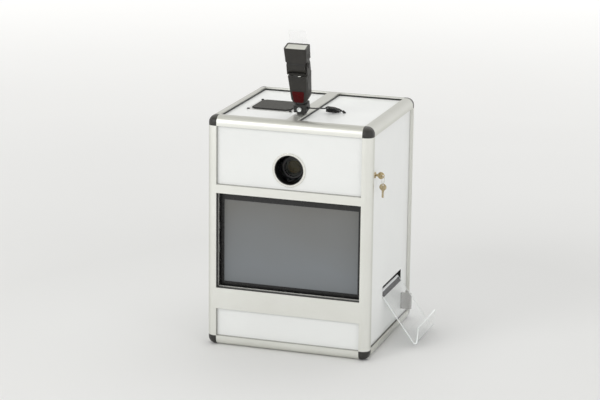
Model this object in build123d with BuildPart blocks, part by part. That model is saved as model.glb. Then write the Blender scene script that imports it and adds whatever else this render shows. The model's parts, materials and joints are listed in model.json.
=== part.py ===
from build123d import *
import math
import os

os.makedirs("parts", exist_ok=True)

# Photo booth cabinet. Millimetres, +Z up, front towards -Y, origin on the floor under the cabinet's centre.

# Cabinet
width = 570.0
depth = 532.0
height = 794.0
profile = 33.5  # side of the square corner profile
edge_r = 25.0  # rounding of the profile's outer corner
core = 9.0  # square core hole of the profile
core_in = 22.0  # core centre from the outer faces
spigot_fit = 0.1
spigot_len = 14.0
recess = 10.0  # panel face below the profile face
panel_t = 4.0
groove_depth = 6.0
groove_fit = 0.3
panel_bite = 5.5  # panel edge inside the groove

# Front: heights of the openings
strip_bottom = 130.5
strip_top = 202.7
mid_bottom = 532.0
mid_top = 561.0
crossbar_depth = 20.0

# Top
bar_width = 38.0
bar_height = 24.0

# Base
rib_w = 38.0
rib_gap = 1.0  # rib from the front and rear rails

# Seals
seal_t = 1.5
seal_h = 5.0
trim_t = 1.2
trim_front = 3.0
trim_depth = 27.0
lip_at = 17.0  # thin lip behind the front face
lip_depth = 2.0
lip_t = 3.0

# Lens port
port_z = 629.0
port_r = 50.0
ring_r = 58.0
ring_t = 2.5
sleeve_t = 0.8
sleeve_fit = 0.2
sleeve_past = 2.0
shroud_gap = 0.7
shroud_wall = 2.0
shroud_flange = 10.0
lens_back = 40.0  # lens front behind the panel face

# Camera
lens_r = 36.0
lens_len = 108.0
zoom_r = 38.5
zoom_at = 38.0
zoom_len = 30.0
zoom_fit = 0.08
glass_r = 30.0
glass_t = 3.0
glass_in = 6.0
camera_w = 144.0
camera_h = 97.0
camera_d = 60.0
camera_drop = 46.0  # camera underside below the lens axis
hump_w = 56.0
hump_h = 20.0
tripod_r = 3.2
tripod_fit = 0.1
tripod_len = 8.0
tripod_head_r = 10.0
tripod_head_h = 8.0

# Shelf
shelf_z = 546.0
shelf_t = 3.0
shelf_past = 10.5  # shelf beyond the posts' inner faces, at the sides
shelf_short = 4.5  # shelf short of them, at front and rear
shelf_block = 20.0
shelf_block_h = 15.0
cable_hole_r = 30.0
bracket_t = 4.0
bracket_w = 110.0
bracket_d = 64.0
bracket_foot = 18.0

# Monitor
monitor_back = 33.0  # bezel face behind the front face
bezel_gap = 2.5
bezel_gap_z = 1.5
bezel_t = 12.0
bezel_lip = 2.0
screen_x = 472.0
screen_z0 = 218.0
screen_z1 = 504.7
screen_t = 3.0
screen_over = 1.0  # screen plate past the visible area on each side
screen_room = 1.0
housing_d = 38.0
housing_in = 3.0
housing_wall = 3.0
vesa = 120.0
vesa_t = 3.0
beam_h = 25.0
beam_d = 12.0
beam_z = (330.0, 410.0)
beam_past = 10.5  # beam ends beyond the posts' inner faces

# Vent and fan
vent_in = 5.75  # vent centre from the top panel's middle
vent_y = -8.0
vent_size = 161.0
vent_t = 1.5
vent_r = 66.0
vent_pitch = 149.0
vent_screw_r = 2.0
vent_screw_fit = 0.2
vent_head_r = 5.0
vent_head_h = 3.4
vent_screw_len = 16.0
filter_x = 138.0
filter_y = 132.0
filter_t = 5.0
filter_cut = 14.0
fan_size = 160.0
fan_h = 38.0
fan_r = 70.0
hub_r = 26.0
hub_h = 28.0
motor_h = 4.0
strut_w = 8.0
shaft_r = 3.0
shaft_fit = 0.05
blade_count = 7
blade_t = 2.0
blade_r = 66.0
blade_h = 22.0
blade_pitch = 38.0

# Door on the right side, on two pivot pins at its rear edge
door_t = 6.0
door_gap = 1.0
pivot_in = 7.5  # pivot axis from the rear post
pivot_r = 2.0
pivot_fit = 0.05
pivot_deep = 14.0
pivot_end = 2.0  # room above the pin in the door
pivot_bore = 13.0  # bore in the rail
collar_r = 2.9
collar_t = 0.8
stop_w = 32.0
stop_t = 3.0
stop_gap = 3.0
stop_rear_gap = 20.0

# Print slot and tray, along Y
slot_y0 = -69.0
slot_y1 = 158.0
slot_z0 = 162.0
slot_z1 = 205.0
slot_r = 4.0
liner_wall = 2.0
liner_fit = 0.1
liner_len = 20.0
tray_t = 4.0
tray_angle = 53.6
tray_rest = 0.3  # gap over the slot's edge
tray_inside = 23.0  # sheet behind the slot's edge
tray_lip_h = 72.0
tray_lip_lean = 6.0
tray_floor = 0.5
tray_side_gap = 4.0
rear_block_x = 38.0
rear_block_y = 8.0
rear_block_z0 = 60.0
rear_block_h = 58.0
rear_block_gap = 1.0
clip_x = 13.0
clip_h = 8.0

# Lock and keys
lock_in = 42.5  # lock axis from the front post
lock_z = 622.0
lock_r = 8.0
lock_fit = 0.1
lock_flange_r = 10.5
lock_flange_t = 2.5
lock_len = 9.0  # barrel inside the door
plug_r = 5.5
plug_fit = 0.05
cam_t = 2.5
cam_w = 14.0
cam_len = 46.0
cam_gap = 0.6
key_t = 2.2
bow_r = 12.0
bow_stem = 7.0
bow_hole_r = 2.5
bow_hole_in = 4.6
blade_w = 7.0
blade_len = 26.0
wire_r = 0.8
wire_gap = 0.15
key_ring_r = 14.0

# Printer
printer_len = 306.0
printer_gap = 3.0  # printer from the slot's liner
printer_side = 27.0  # printer beyond the slot's ends
printer_top = 200.0
printer_wall = 2.5
printer_foot = 4.0
chassis_gap = 0.5
chassis_t = 3.0
chassis_z1 = 188.0
roll_in = 80.0  # roll axis from the printer's far end
roll_z = 82.0
roll_r = 52.0
roll_w = 206.0
roll_shaft_r = 8.0
platen_in = 51.0  # platen axis from the printer's outlet end
platen_z = 165.0
platen_r = 10.0
platen_w = 212.0
platen_shaft_r = 4.0
shaft_run = 0.05
head_bar_h = 12.0
head_bar_w = 16.0
head_bar_gap = 0.4
head_bar_end = 0.2
exit_z0 = 176.0
exit_z1 = 192.0
exit_in = 34.0

# Computer and power
pc_size = 170.0
pc_h = 45.0
pc_x = -160.0
pc_y = 105.0
supply_x = -160.0
supply_y = -60.0
supply_w = 150.0
supply_d = 90.0
inlet_x = -190.0
inlet_z = 120.0
inlet_w = 48.0
inlet_h = 62.0
inlet_t = 2.5
inlet_body_w = 40.0
inlet_body_h = 52.0
inlet_body_d = 32.0
inlet_fit = 0.3
socket_w = 25.0
socket_h = 17.0
socket_d = 16.0
socket_pin = 8.0
rocker_r = 9.0
rocker_w = 22.0
rocker_fit = 0.35
rocker_up = 15.0
vent_slot_len = 70.0
vent_slot_w = 6.0

# Flash on its leaning shoe, on the centre bar
flash_lean = 15.0
shoe_y = -126.0
shoe_foot_w = 24.0
shoe_foot_d = 36.0
shoe_foot_h = 12.0  # at the foot's centre
shoe_w = 45.0
shoe_d = 44.0
shoe_h = 26.0
knob_r = 8.0
knob_t = 7.0
knob_stem_r = 3.0
knob_fit = 0.05
knob_w = 14.0
knob_stem = 12.0
foot_r = 17.0
body_z0 = 36.0
body_z1 = 133.0
body_w0 = 44.0
shoulder_z = 47.0
shoulder_w = 56.0
body_w1 = 65.0
body_d = 64.0
body_taper = 4.0  # front and rear faces, each, over the body's height
body_corner = 7.0
body_back = 5.0
body_wall = 2.5
window_w = 42.0
window_angle = 84.0
window_h = 41.0
window_z = 59.5
window_t = 2.0
window_corner = 5.0
window_edge = 0.8
turret_gap = 0.3
turret_r = 27.0
turret_h = 6.7
tilt_z = 167.0
barrel_r = 26.5
barrel_w = 62.0
ear_gap = 0.4
ear_t = 4.5
yoke_t = 3.0
ear_half = 18.0
tilt_pin_r = 4.0
tilt_fit = 0.05
button_r = 9.0
button_t = 2.0
head_z0 = 185.6
head_z1 = 234.0
head_w0 = 73.0
head_w1 = 78.6
head_d0 = 54.0
head_d1 = 47.0
head_shift = -2.0
lens_w = 68.0
lens_d = 36.0
lens_t = 2.5
lens_shift = -5.0
card_w = 63.0
card_t = 1.0
card_fit = 0.3
card_at = 16.0
card_out = 50.0
card_pocket = 56.0

# Flash cord: the points of its route
cord_r = 2.1
coil_r = 8.5
coil_end_r = 6.0
cord_route = [
    (22.5, -138.0, 817.0), (34.0, -138.0, 817.0), (43.0, -131.0, 815.5), (46.5, -118.0, 813.0),
    (47.5, -101.0, 810.2), (46.8, -84.0, 806.8), (50.0, -68.7, 803.3), (62.0, -62.0, 801.0),
]
coil_start = (62.0, -62.0, 801.0)
coil_end = (104.0, -38.5, 793.0)
cord_tail = [(104.0, -38.5, 793.0), (108.6, -35.9, 792.1), (113.2, -33.3, 791.4)]
gland_w = 10.0
gland_len = 11.0
gland_h = 12.0
gland_gap = 0.4

# Worked-out places
in_x = width / 2 - profile
in_y = depth / 2 - profile
in_z0 = profile
in_z1 = height - profile
face_x = width / 2 - recess
face_y = depth / 2 - recess
top_face = height - recess
door_x0 = face_x - door_t
pivot_x = face_x - door_t / 2
pivot_y = in_y - pivot_in
port_face = -face_y
stop_x1 = door_x0 - stop_gap
lock_y = -in_y + lock_in
printer_x1 = door_x0 - liner_len - printer_gap
printer_x0 = printer_x1 - printer_len
printer_y0 = slot_y0 - printer_side
printer_y1 = slot_y1 + printer_side
roll_x = printer_x0 + roll_in
platen_x = printer_x1 - platen_in
shelf_x = in_x + shelf_past
shelf_y = in_y - shelf_short
beam_out = in_x + beam_past
top_x = (in_x + bar_width / 2) / 2
vent_x = vent_in - top_x
bezel_face = -depth / 2 + monitor_back
lean = math.radians(flash_lean)
flash_plane = Plane(
    origin=(0, shoe_y, height + shoe_foot_h), x_dir=(1, 0, 0), z_dir=(0, -math.sin(lean), math.cos(lean))
)


def corner_section():
    """Section of the corner profile, its rounded outer corner at the origin."""
    with BuildSketch() as section:
        with Locations((-profile / 2, -profile / 2)):
            Rectangle(profile, profile)
        fillet(section.vertices().sort_by_distance((0, 0, 0))[0], edge_r)
        with Locations((-core_in, -core_in)):
            Rectangle(core, core, mode=Mode.SUBTRACT)
        groove_w = panel_t + 2 * groove_fit
        groove_at = recess + panel_t / 2
        with Locations((-profile + groove_depth / 2, -groove_at)):
            Rectangle(groove_depth, groove_w, mode=Mode.SUBTRACT)
        with Locations((-groove_at, -profile + groove_depth / 2)):
            Rectangle(groove_w, groove_depth, mode=Mode.SUBTRACT)
    return section.sketch


def panel_outline(open_w, open_h):
    """Panel that bites into the grooves on its four sides, its corners cut clear."""
    with BuildSketch() as outline:
        Rectangle(open_w + 2 * panel_bite, open_h)
        Rectangle(open_w, open_h + 2 * panel_bite)
    return outline.sketch


def ring_outline(open_w, open_h, wall):
    """Closed strip of one wall thickness that lines an opening."""
    with BuildSketch() as outline:
        Rectangle(open_w, open_h)
        Rectangle(open_w - 2 * wall, open_h - 2 * wall, mode=Mode.SUBTRACT)
    return outline.sketch


# Frame: one profile or cap per corner, mirrored to the others
with BuildPart() as corner_posts:
    with BuildSketch(Plane(origin=(width / 2, depth / 2, in_z0))):
        add(corner_section())
    extrude(amount=in_z1 - in_z0)
    mirror(about=Plane.YZ)
    mirror(about=Plane.XZ)

with BuildPart() as frame_rails:
    with BuildSketch(Plane(origin=(-in_x, depth / 2, height), x_dir=(0, 1, 0), z_dir=(1, 0, 0))):
        add(corner_section())
    extrude(amount=2 * in_x)
    mirror(about=Plane.XZ)
    with BuildSketch(Plane(origin=(width / 2, in_y, height), x_dir=(1, 0, 0), z_dir=(0, -1, 0))):
        add(corner_section())
    extrude(amount=2 * in_y)
    with BuildSketch(Plane(origin=(-width / 2, -in_y, height), x_dir=(-1, 0, 0), z_dir=(0, 1, 0))):
        add(corner_section())
    extrude(amount=2 * in_y)
    mirror(about=Plane.XY.offset(height / 2))
    # Bores for the door's pivot pins, below and above the door
    for rail_z in (in_z0 - pivot_bore, in_z1):
        with BuildSketch(Plane.XY.offset(rail_z)):
            with Locations((pivot_x, pivot_y)):
                Circle(pivot_r + pivot_fit)
        extrude(amount=pivot_bore, mode=Mode.SUBTRACT)

with BuildPart() as corner_caps:
    with Locations((width / 2 - profile / 2, depth / 2 - profile / 2, height - profile / 2)):
        Box(profile, profile, profile)
    fillet(corner_caps.edges().sort_by_distance((width / 2, depth / 2, height))[:3], edge_r)
    spigot = core - 2 * spigot_fit
    core_x = width / 2 - core_in
    core_y = depth / 2 - core_in
    core_z = height - core_in
    with Locations((core_x, core_y, in_z1 - spigot_len / 2)):
        Box(spigot, spigot, spigot_len)
    with Locations((core_x, in_y - spigot_len / 2, core_z)):
        Box(spigot, spigot_len, spigot)
    with Locations((in_x - spigot_len / 2, core_y, core_z)):
        Box(spigot_len, spigot, spigot)
    mirror(about=Plane.YZ)
    mirror(about=Plane.XZ)
    mirror(about=Plane.XY.offset(height / 2))

# Middle rail, flat strip and the thin lip round the monitor opening
groove_width = panel_t + 2 * groove_fit
groove_y = -face_y + panel_t / 2
crossbar_y = -depth / 2 + crossbar_depth / 2
monitor_h = mid_bottom - strip_top
monitor_z = (mid_bottom + strip_top) / 2
with BuildPart() as front_crossbars:
    for bar_z0, bar_z1, groove_z in (
        (mid_bottom, mid_top, mid_top - groove_depth / 2),
        (strip_bottom, strip_top, strip_bottom + groove_depth / 2),
    ):
        bar_h = bar_z1 - bar_z0
        with BuildSketch(Plane.YZ.offset(-in_x)):
            with Locations((crossbar_y, (bar_z0 + bar_z1) / 2)):
                Rectangle(crossbar_depth, bar_h)
            with Locations((groove_y, groove_z)):
                Rectangle(groove_width, groove_depth, mode=Mode.SUBTRACT)
        extrude(amount=2 * in_x)
    with BuildSketch(Plane.XZ.offset(depth / 2 - lip_at - lip_depth)):
        with Locations((0, monitor_z)):
            add(ring_outline(2 * (in_x - trim_t), monitor_h - 2 * trim_t, lip_t))
    extrude(amount=lip_depth)

with BuildPart() as top_centre_bar:
    with BuildSketch(Plane.XZ.offset(-in_y)):
        with Locations((0, height - bar_height / 2)):
            Rectangle(bar_width, bar_height)
        with Locations(
            (bar_width / 2 - groove_depth / 2, top_face - panel_t / 2),
            (-bar_width / 2 + groove_depth / 2, top_face - panel_t / 2),
        ):
            Rectangle(groove_depth, groove_width, mode=Mode.SUBTRACT)
    extrude(amount=2 * in_y)

# Panels
upper_h = in_z1 - mid_top
upper_z = (in_z1 + mid_top) / 2
lower_h = strip_bottom - in_z0
lower_z = (strip_bottom + in_z0) / 2
side_h = in_z1 - in_z0
top_w = in_x - bar_width / 2

with BuildPart() as upper_front_panel:
    with BuildSketch(Plane.XZ.offset(face_y - panel_t)):
        with Locations((0, upper_z)):
            add(panel_outline(2 * in_x, upper_h))
        with Locations((0, port_z)):
            Circle(port_r + sleeve_t + sleeve_fit, mode=Mode.SUBTRACT)
    extrude(amount=panel_t)

with BuildPart() as lower_front_panel:
    with BuildSketch(Plane.XZ.offset(face_y - panel_t)):
        with Locations((0, lower_z)):
            add(panel_outline(2 * in_x, lower_h))
    extrude(amount=panel_t)

with BuildPart() as left_side_panel:
    with BuildSketch(Plane.YZ.offset(-face_x)):
        with Locations((0, height / 2)):
            add(panel_outline(2 * in_y, side_h))
    extrude(amount=panel_t)

with BuildPart() as rear_panel:
    with BuildSketch(Plane.XZ.offset(-face_y)):
        with Locations((0, height / 2)):
            add(panel_outline(2 * in_x, side_h))
        with Locations((0, height * 0.72)):
            with GridLocations(vent_slot_len + 20, 3 * vent_slot_w, 3, 6):
                SlotOverall(vent_slot_len, vent_slot_w, mode=Mode.SUBTRACT)
        with Locations((inlet_x, inlet_z)):
            Rectangle(inlet_body_w + 2 * inlet_fit, inlet_body_h + 2 * inlet_fit, mode=Mode.SUBTRACT)
    extrude(amount=panel_t)

with BuildPart() as base_panel:
    with BuildSketch(Plane.XY.offset(recess)):
        add(panel_outline(2 * in_x, 2 * in_y))
    extrude(amount=panel_t)
    # Stiffening rib under the middle, down to the floor
    with BuildSketch():
        Rectangle(rib_w, 2 * (in_y - rib_gap))
    extrude(amount=recess)

with BuildPart() as top_left_panel:
    with BuildSketch(Plane.XY.offset(top_face - panel_t)):
        with Locations((-top_x, 0)):
            add(panel_outline(top_w, 2 * in_y))
        with Locations((vent_x, vent_y)):
            Circle(vent_r, mode=Mode.SUBTRACT)
            with GridLocations(vent_pitch, vent_pitch, 2, 2):
                Circle(vent_screw_r + vent_screw_fit, mode=Mode.SUBTRACT)
    extrude(amount=panel_t)

with BuildPart() as top_right_panel:
    with BuildSketch(Plane.XY.offset(top_face - panel_t)):
        with Locations((top_x, 0)):
            add(panel_outline(top_w, 2 * in_y))
    extrude(amount=panel_t)

# Black seals on the walls outside each panel, and the deep trim of the monitor opening
with BuildPart() as panel_seals:
    with BuildSketch(Plane.XZ.offset(face_y)):
        with Locations((0, upper_z)):
            add(ring_outline(2 * in_x, upper_h, seal_t))
        with Locations((0, lower_z)):
            add(ring_outline(2 * in_x, lower_h, seal_t))
    extrude(amount=seal_h)
    with BuildSketch(Plane.XZ.offset(-face_y - seal_h)):
        with Locations((0, height / 2)):
            add(ring_outline(2 * in_x, side_h, seal_t))
    extrude(amount=seal_h)
    with BuildSketch(Plane.YZ.offset(-face_x - seal_h)):
        with Locations((0, height / 2)):
            add(ring_outline(2 * in_y, side_h, seal_t))
    extrude(amount=seal_h)
    with BuildSketch(Plane.XY.offset(top_face)):
        with Locations((-top_x, 0), (top_x, 0)):
            add(ring_outline(top_w, 2 * in_y, seal_t))
    extrude(amount=seal_h)
    with BuildSketch(Plane.XZ.offset(depth / 2 - trim_front - trim_depth)):
        with Locations((0, monitor_z)):
            add(ring_outline(2 * in_x, monitor_h, trim_t))
    extrude(amount=trim_depth)

# Monitor
bezel_w = 2 * (in_x - bezel_gap)
bezel_h = monitor_h - 2 * bezel_gap_z
screen_h = screen_z1 - screen_z0
screen_z = (screen_z0 + screen_z1) / 2
with BuildPart() as monitor_bezel:
    with BuildSketch(Plane.XZ.offset(-bezel_face - bezel_t)):
        with Locations((0, monitor_z)):
            Rectangle(bezel_w, bezel_h)
        with Locations((0, screen_z)):
            Rectangle(screen_x, screen_h, mode=Mode.SUBTRACT)
    extrude(amount=bezel_t)
    with BuildSketch(Plane.XZ.offset(-bezel_face - bezel_t)):
        with Locations((0, screen_z)):
            Rectangle(
                screen_x + 2 * (screen_over + screen_room), screen_h + 2 * (screen_over + screen_room)
            )
    extrude(amount=bezel_t - bezel_lip, mode=Mode.SUBTRACT)
    front_rim = monitor_bezel.faces().sort_by(Axis.Y)[0].outer_wire().edges()
    chamfer(front_rim, 1.2)

with BuildPart() as monitor_screen:
    with BuildSketch(Plane.XZ.offset(-bezel_face - bezel_lip - screen_t)):
        with Locations((0, screen_z)):
            Rectangle(screen_x + 2 * screen_over, screen_h + 2 * screen_over)
    extrude(amount=screen_t)

housing_front = bezel_face + bezel_t
with BuildPart() as monitor_housing:
    with BuildSketch(Plane.XZ.offset(-housing_front)):
        with Locations((0, monitor_z)):
            RectangleRounded(bezel_w - 2 * housing_in, bezel_h - 2 * housing_in, 6)
    extrude(amount=-housing_d)
    fillet(monitor_housing.faces().sort_by(Axis.Y)[-1].edges(), 8)
    with BuildSketch(Plane.XZ.offset(-housing_front)):
        with Locations((0, monitor_z)):
            Rectangle(
                bezel_w - 2 * (housing_in + housing_wall), bezel_h - 2 * (housing_in + housing_wall)
            )
    extrude(amount=-(housing_d - housing_wall), mode=Mode.SUBTRACT)

beam_y = housing_front + housing_d + vesa_t
with BuildPart() as monitor_crossbars:
    with BuildSketch(Plane.XZ.offset(-beam_y)):
        with Locations((0, sum(beam_z) / 2)):
            Rectangle(vesa, vesa)
    extrude(amount=vesa_t)
    for beam_mid in beam_z:
        with BuildSketch(Plane.XY.offset(beam_mid - beam_h / 2)):
            with Locations((0, beam_y + beam_d / 2)):
                Rectangle(2 * beam_out, beam_d)
            arm = beam_y + in_y
            with Locations((beam_out - beam_d / 2, beam_y - arm / 2), (beam_d / 2 - beam_out, beam_y - arm / 2)):
                Rectangle(beam_d, arm)
        extrude(amount=beam_h)

# Lens port and its black shroud
with BuildPart() as lens_ring:
    with BuildSketch(Plane.XZ.offset(-port_face)):
        with Locations((0, port_z)):
            Circle(ring_r)
            Circle(port_r, mode=Mode.SUBTRACT)
    extrude(amount=ring_t)
    with BuildSketch(Plane.XZ.offset(-port_face - panel_t - sleeve_past)):
        with Locations((0, port_z)):
            Circle(port_r + sleeve_t)
            Circle(port_r, mode=Mode.SUBTRACT)
    extrude(amount=panel_t + sleeve_past)
    fillet(lens_ring.edges().filter_by(GeomType.CIRCLE).sort_by(Axis.Y)[:2], 0.8)

shroud_r = port_r + sleeve_t + shroud_gap
with BuildPart() as lens_shroud:
    with BuildSketch(Plane.XZ.offset(-port_face - lens_back)):
        with Locations((0, port_z)):
            Circle(shroud_r + shroud_wall)
            Circle(shroud_r, mode=Mode.SUBTRACT)
    extrude(amount=lens_back - panel_t)
    with BuildSketch(Plane.XZ.offset(-port_face - panel_t - shroud_wall)):
        with Locations((0, port_z)):
            Circle(shroud_r + shroud_wall + shroud_flange)
            Circle(shroud_r, mode=Mode.SUBTRACT)
    extrude(amount=shroud_wall)

# Camera: lens axis along Y through the port's centre
lens_front = port_face + lens_back
lens_rear = lens_front + lens_len
zoom_front = lens_front + zoom_at
with BuildPart() as lens_barrel:
    with BuildSketch(Plane.XZ.offset(-lens_rear)):
        with Locations((0, port_z)):
            Circle(lens_r)
    extrude(amount=lens_len)
    with BuildSketch(Plane.XZ.offset(-zoom_front - zoom_len)):
        with Locations((0, port_z)):
            Circle(lens_r + 1)
            Circle(lens_r - 2, mode=Mode.SUBTRACT)
    extrude(amount=zoom_len, mode=Mode.SUBTRACT)
    with BuildSketch(Plane.XZ.offset(-lens_front - glass_in - glass_t)):
        with Locations((0, port_z)):
            Circle(glass_r)
    extrude(amount=glass_in + glass_t, mode=Mode.SUBTRACT)
    with BuildSketch(Plane.XZ.offset(-lens_front - glass_in - glass_t - 8)):
        with Locations((0, port_z)):
            Circle(glass_r - 4)
    extrude(amount=8, mode=Mode.SUBTRACT)

with BuildPart() as lens_zoom_ring:
    with BuildSketch(Plane.XZ.offset(-zoom_front - zoom_len + 0.2)):
        with Locations((0, port_z)):
            Circle(zoom_r)
            Circle(lens_r - 2 + zoom_fit, mode=Mode.SUBTRACT)
            with PolarLocations(zoom_r, 36):
                Circle(0.9, mode=Mode.SUBTRACT)
    extrude(amount=zoom_len - 0.4)

with BuildPart() as lens_front_glass:
    with BuildSketch(Plane.XZ.offset(-lens_front - glass_in - glass_t)):
        with Locations((0, port_z)):
            Circle(glass_r - 0.1)
    extrude(amount=glass_t)

camera_z0 = port_z - camera_drop
with BuildPart() as camera_body:
    with BuildSketch(Plane.XY.offset(camera_z0)):
        with Locations((0, lens_rear + camera_d / 2)):
            RectangleRounded(camera_w, camera_d, 12)
    extrude(amount=camera_h)
    with BuildSketch(Plane.XY.offset(camera_z0 + camera_h)):
        with Locations((0, lens_rear + camera_d / 2)):
            RectangleRounded(hump_w, camera_d - 6, 8)
    extrude(amount=hump_h, taper=12)
    with BuildSketch(Plane.XY.offset(camera_z0)):
        with Locations((0, lens_rear + camera_d / 2)):
            Circle(tripod_r + tripod_fit)
    extrude(amount=9, mode=Mode.SUBTRACT)

# Shelf with its four blocks and the camera bracket welded to it
shelf_top = shelf_z + shelf_t
bracket_top = camera_z0
bracket_y = lens_rear + camera_d / 2
with BuildPart() as camera_shelf:
    with BuildSketch(Plane.XY.offset(shelf_z)):
        Rectangle(2 * shelf_x, 2 * shelf_y)
        with Locations((-180, 140), (180, 140)):
            Circle(cable_hole_r, mode=Mode.SUBTRACT)
    extrude(amount=shelf_t)
    with BuildSketch(Plane.XY.offset(shelf_z - shelf_block_h)):
        with GridLocations(2 * shelf_x - shelf_block, 2 * in_y - shelf_block, 2, 2):
            Rectangle(shelf_block, shelf_block)
    extrude(amount=shelf_block_h)
    with BuildSketch(Plane.XZ.offset(-bracket_y - bracket_d / 2)):
        with Locations((0, bracket_top - bracket_t / 2)):
            Rectangle(bracket_w, bracket_t)
        leg_h = bracket_top - shelf_top
        for side in (1, -1):
            with Locations((side * (bracket_w - bracket_t) / 2, shelf_top + leg_h / 2)):
                Rectangle(bracket_t, leg_h)
            with Locations((side * (bracket_w / 2 + bracket_foot / 2), shelf_top + bracket_t / 2)):
                Rectangle(bracket_foot, bracket_t)
    extrude(amount=bracket_d)
    with BuildSketch(Plane.XY.offset(bracket_top - bracket_t)):
        with Locations((0, bracket_y)):
            Circle(tripod_r + tripod_fit)
    extrude(amount=bracket_t, mode=Mode.SUBTRACT)


# Vent on the top left panel, fan below it
with BuildPart() as vent_plate:
    with BuildSketch(Plane.XY.offset(top_face)):
        with Locations((vent_x, vent_y)):
            RectangleRounded(vent_size, vent_size, 4)
            Circle(vent_r, mode=Mode.SUBTRACT)
            with GridLocations(vent_pitch, vent_pitch, 2, 2):
                Circle(vent_screw_r + vent_screw_fit, mode=Mode.SUBTRACT)
    extrude(amount=vent_t)

plate_top = top_face + vent_t
with BuildPart() as vent_filter:
    with BuildSketch(Plane.XY.offset(plate_top)):
        with Locations((vent_x, vent_y)):
            Rectangle(filter_x, filter_y)
    extrude(amount=filter_t)
    chamfer(vent_filter.edges().filter_by(Axis.Z), filter_cut)
    fillet(vent_filter.faces().sort_by(Axis.Z)[-1].edges(), 1.5)

with BuildPart() as screws:
    with Locations((vent_x, vent_y)):
        with GridLocations(vent_pitch, vent_pitch, 2, 2):
            with Locations((0, 0, plate_top + vent_head_h / 2)):
                Cylinder(vent_head_r, vent_head_h)
            with Locations((0, 0, plate_top - vent_screw_len / 2)):
                Cylinder(vent_screw_r, vent_screw_len)
    fillet(screws.edges().filter_by(GeomType.CIRCLE).group_by(Axis.Z)[-1], vent_head_h - 0.6)
    with BuildSketch(Plane.XY.offset(bracket_top - bracket_t)):
        with Locations((0, bracket_y)):
            Circle(tripod_r)
    extrude(amount=bracket_t + tripod_len)
    with BuildSketch(Plane.XY.offset(bracket_top - bracket_t - tripod_head_h)):
        with Locations((0, bracket_y)):
            Circle(tripod_head_r)
    extrude(amount=tripod_head_h)

fan_top = top_face - panel_t
with BuildPart() as fan_frame:
    with BuildSketch(Plane.XY.offset(fan_top - fan_h)):
        with Locations((vent_x, vent_y)):
            RectangleRounded(fan_size, fan_size, 6)
            Circle(fan_r, mode=Mode.SUBTRACT)
            with GridLocations(vent_pitch, vent_pitch, 2, 2):
                Circle(vent_screw_r + vent_screw_fit, mode=Mode.SUBTRACT)
    extrude(amount=fan_h)
    with BuildSketch(Plane.XY.offset(fan_top - fan_h)):
        with Locations((vent_x, vent_y)):
            Circle(hub_r)
            Rectangle(2 * fan_r + 2, strut_w)
            Rectangle(strut_w, 2 * fan_r + 2)
    extrude(amount=motor_h)
    with BuildSketch(Plane.XY.offset(fan_top - fan_h + motor_h)):
        with Locations((vent_x, vent_y)):
            Circle(shaft_r)
    extrude(amount=hub_h - 6)

hub_z = fan_top - fan_h + motor_h + 0.5
with BuildPart() as fan_rotor:
    with BuildSketch(Plane.XY.offset(hub_z)):
        with Locations((vent_x, vent_y)):
            Circle(hub_r)
            Circle(shaft_r + shaft_fit, mode=Mode.SUBTRACT)
    extrude(amount=hub_h)
    for turn in range(blade_count):
        angle = math.radians(360 / blade_count * turn)
        radial = Vector(math.cos(angle), math.sin(angle), 0)
        pitch = math.radians(blade_pitch)
        across = Vector(-math.sin(angle), math.cos(angle), 0) * math.cos(pitch) + Vector(0, 0, math.sin(pitch))
        mid = Vector(vent_x, vent_y, hub_z + hub_h / 2) + radial * (hub_r - 2)
        blade_plane = Plane(origin=mid, x_dir=across, z_dir=radial)
        with BuildSketch(blade_plane):
            Rectangle(blade_h / math.sin(pitch), blade_t)
        extrude(amount=blade_r - hub_r + 2)

# Door: panel on two pivot pins, with stops behind its front, top and bottom edges
door_y0 = -in_y + door_gap
door_y1 = in_y - door_gap
door_z0 = in_z0 + door_gap
door_z1 = in_z1 - door_gap
slot_w = slot_y1 - slot_y0
slot_h = slot_z1 - slot_z0
slot_y = (slot_y0 + slot_y1) / 2
slot_z = (slot_z0 + slot_z1) / 2
with BuildPart() as door_panel:
    with BuildSketch(Plane.YZ.offset(door_x0)):
        with Locations(((door_y0 + door_y1) / 2, (door_z0 + door_z1) / 2)):
            Rectangle(door_y1 - door_y0, door_z1 - door_z0)
        with Locations((slot_y, slot_z)):
            RectangleRounded(slot_w, slot_h, slot_r, mode=Mode.SUBTRACT)
        with Locations((lock_y, lock_z)):
            Circle(lock_r + lock_fit, mode=Mode.SUBTRACT)
    extrude(amount=door_t)
    for bore_z in (door_z0, door_z1 - pivot_deep):
        with BuildSketch(Plane.XY.offset(bore_z)):
            with Locations((pivot_x, pivot_y)):
                Circle(pivot_r + pivot_fit)
        extrude(amount=pivot_deep, mode=Mode.SUBTRACT)

pin_len = pivot_bore + door_gap + pivot_deep - pivot_end
with BuildPart() as door_pivot_pins:
    with BuildSketch(Plane.XY.offset(in_z0 - pivot_bore)):
        with Locations((pivot_x, pivot_y)):
            Circle(pivot_r)
    extrude(amount=pin_len)
    with BuildSketch(Plane.XY.offset(in_z0)):
        with Locations((pivot_x, pivot_y)):
            Circle(collar_r)
    extrude(amount=collar_t)
    mirror(about=Plane.XY.offset(height / 2))

with BuildPart() as door_stops:
    with BuildSketch(Plane.YZ.offset(stop_x1 - stop_t)):
        with Locations((0, height / 2)):
            Rectangle(2 * in_y, side_h)
        inner_y0 = -in_y + stop_w
        inner_h = side_h - 2 * stop_w
        with Locations(((inner_y0 + in_y) / 2, height / 2)):
            Rectangle(in_y - inner_y0, inner_h, mode=Mode.SUBTRACT)
        with Locations((in_y - stop_rear_gap / 2, height / 2)):
            Rectangle(stop_rear_gap, side_h, mode=Mode.SUBTRACT)
    extrude(amount=stop_t)

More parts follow.
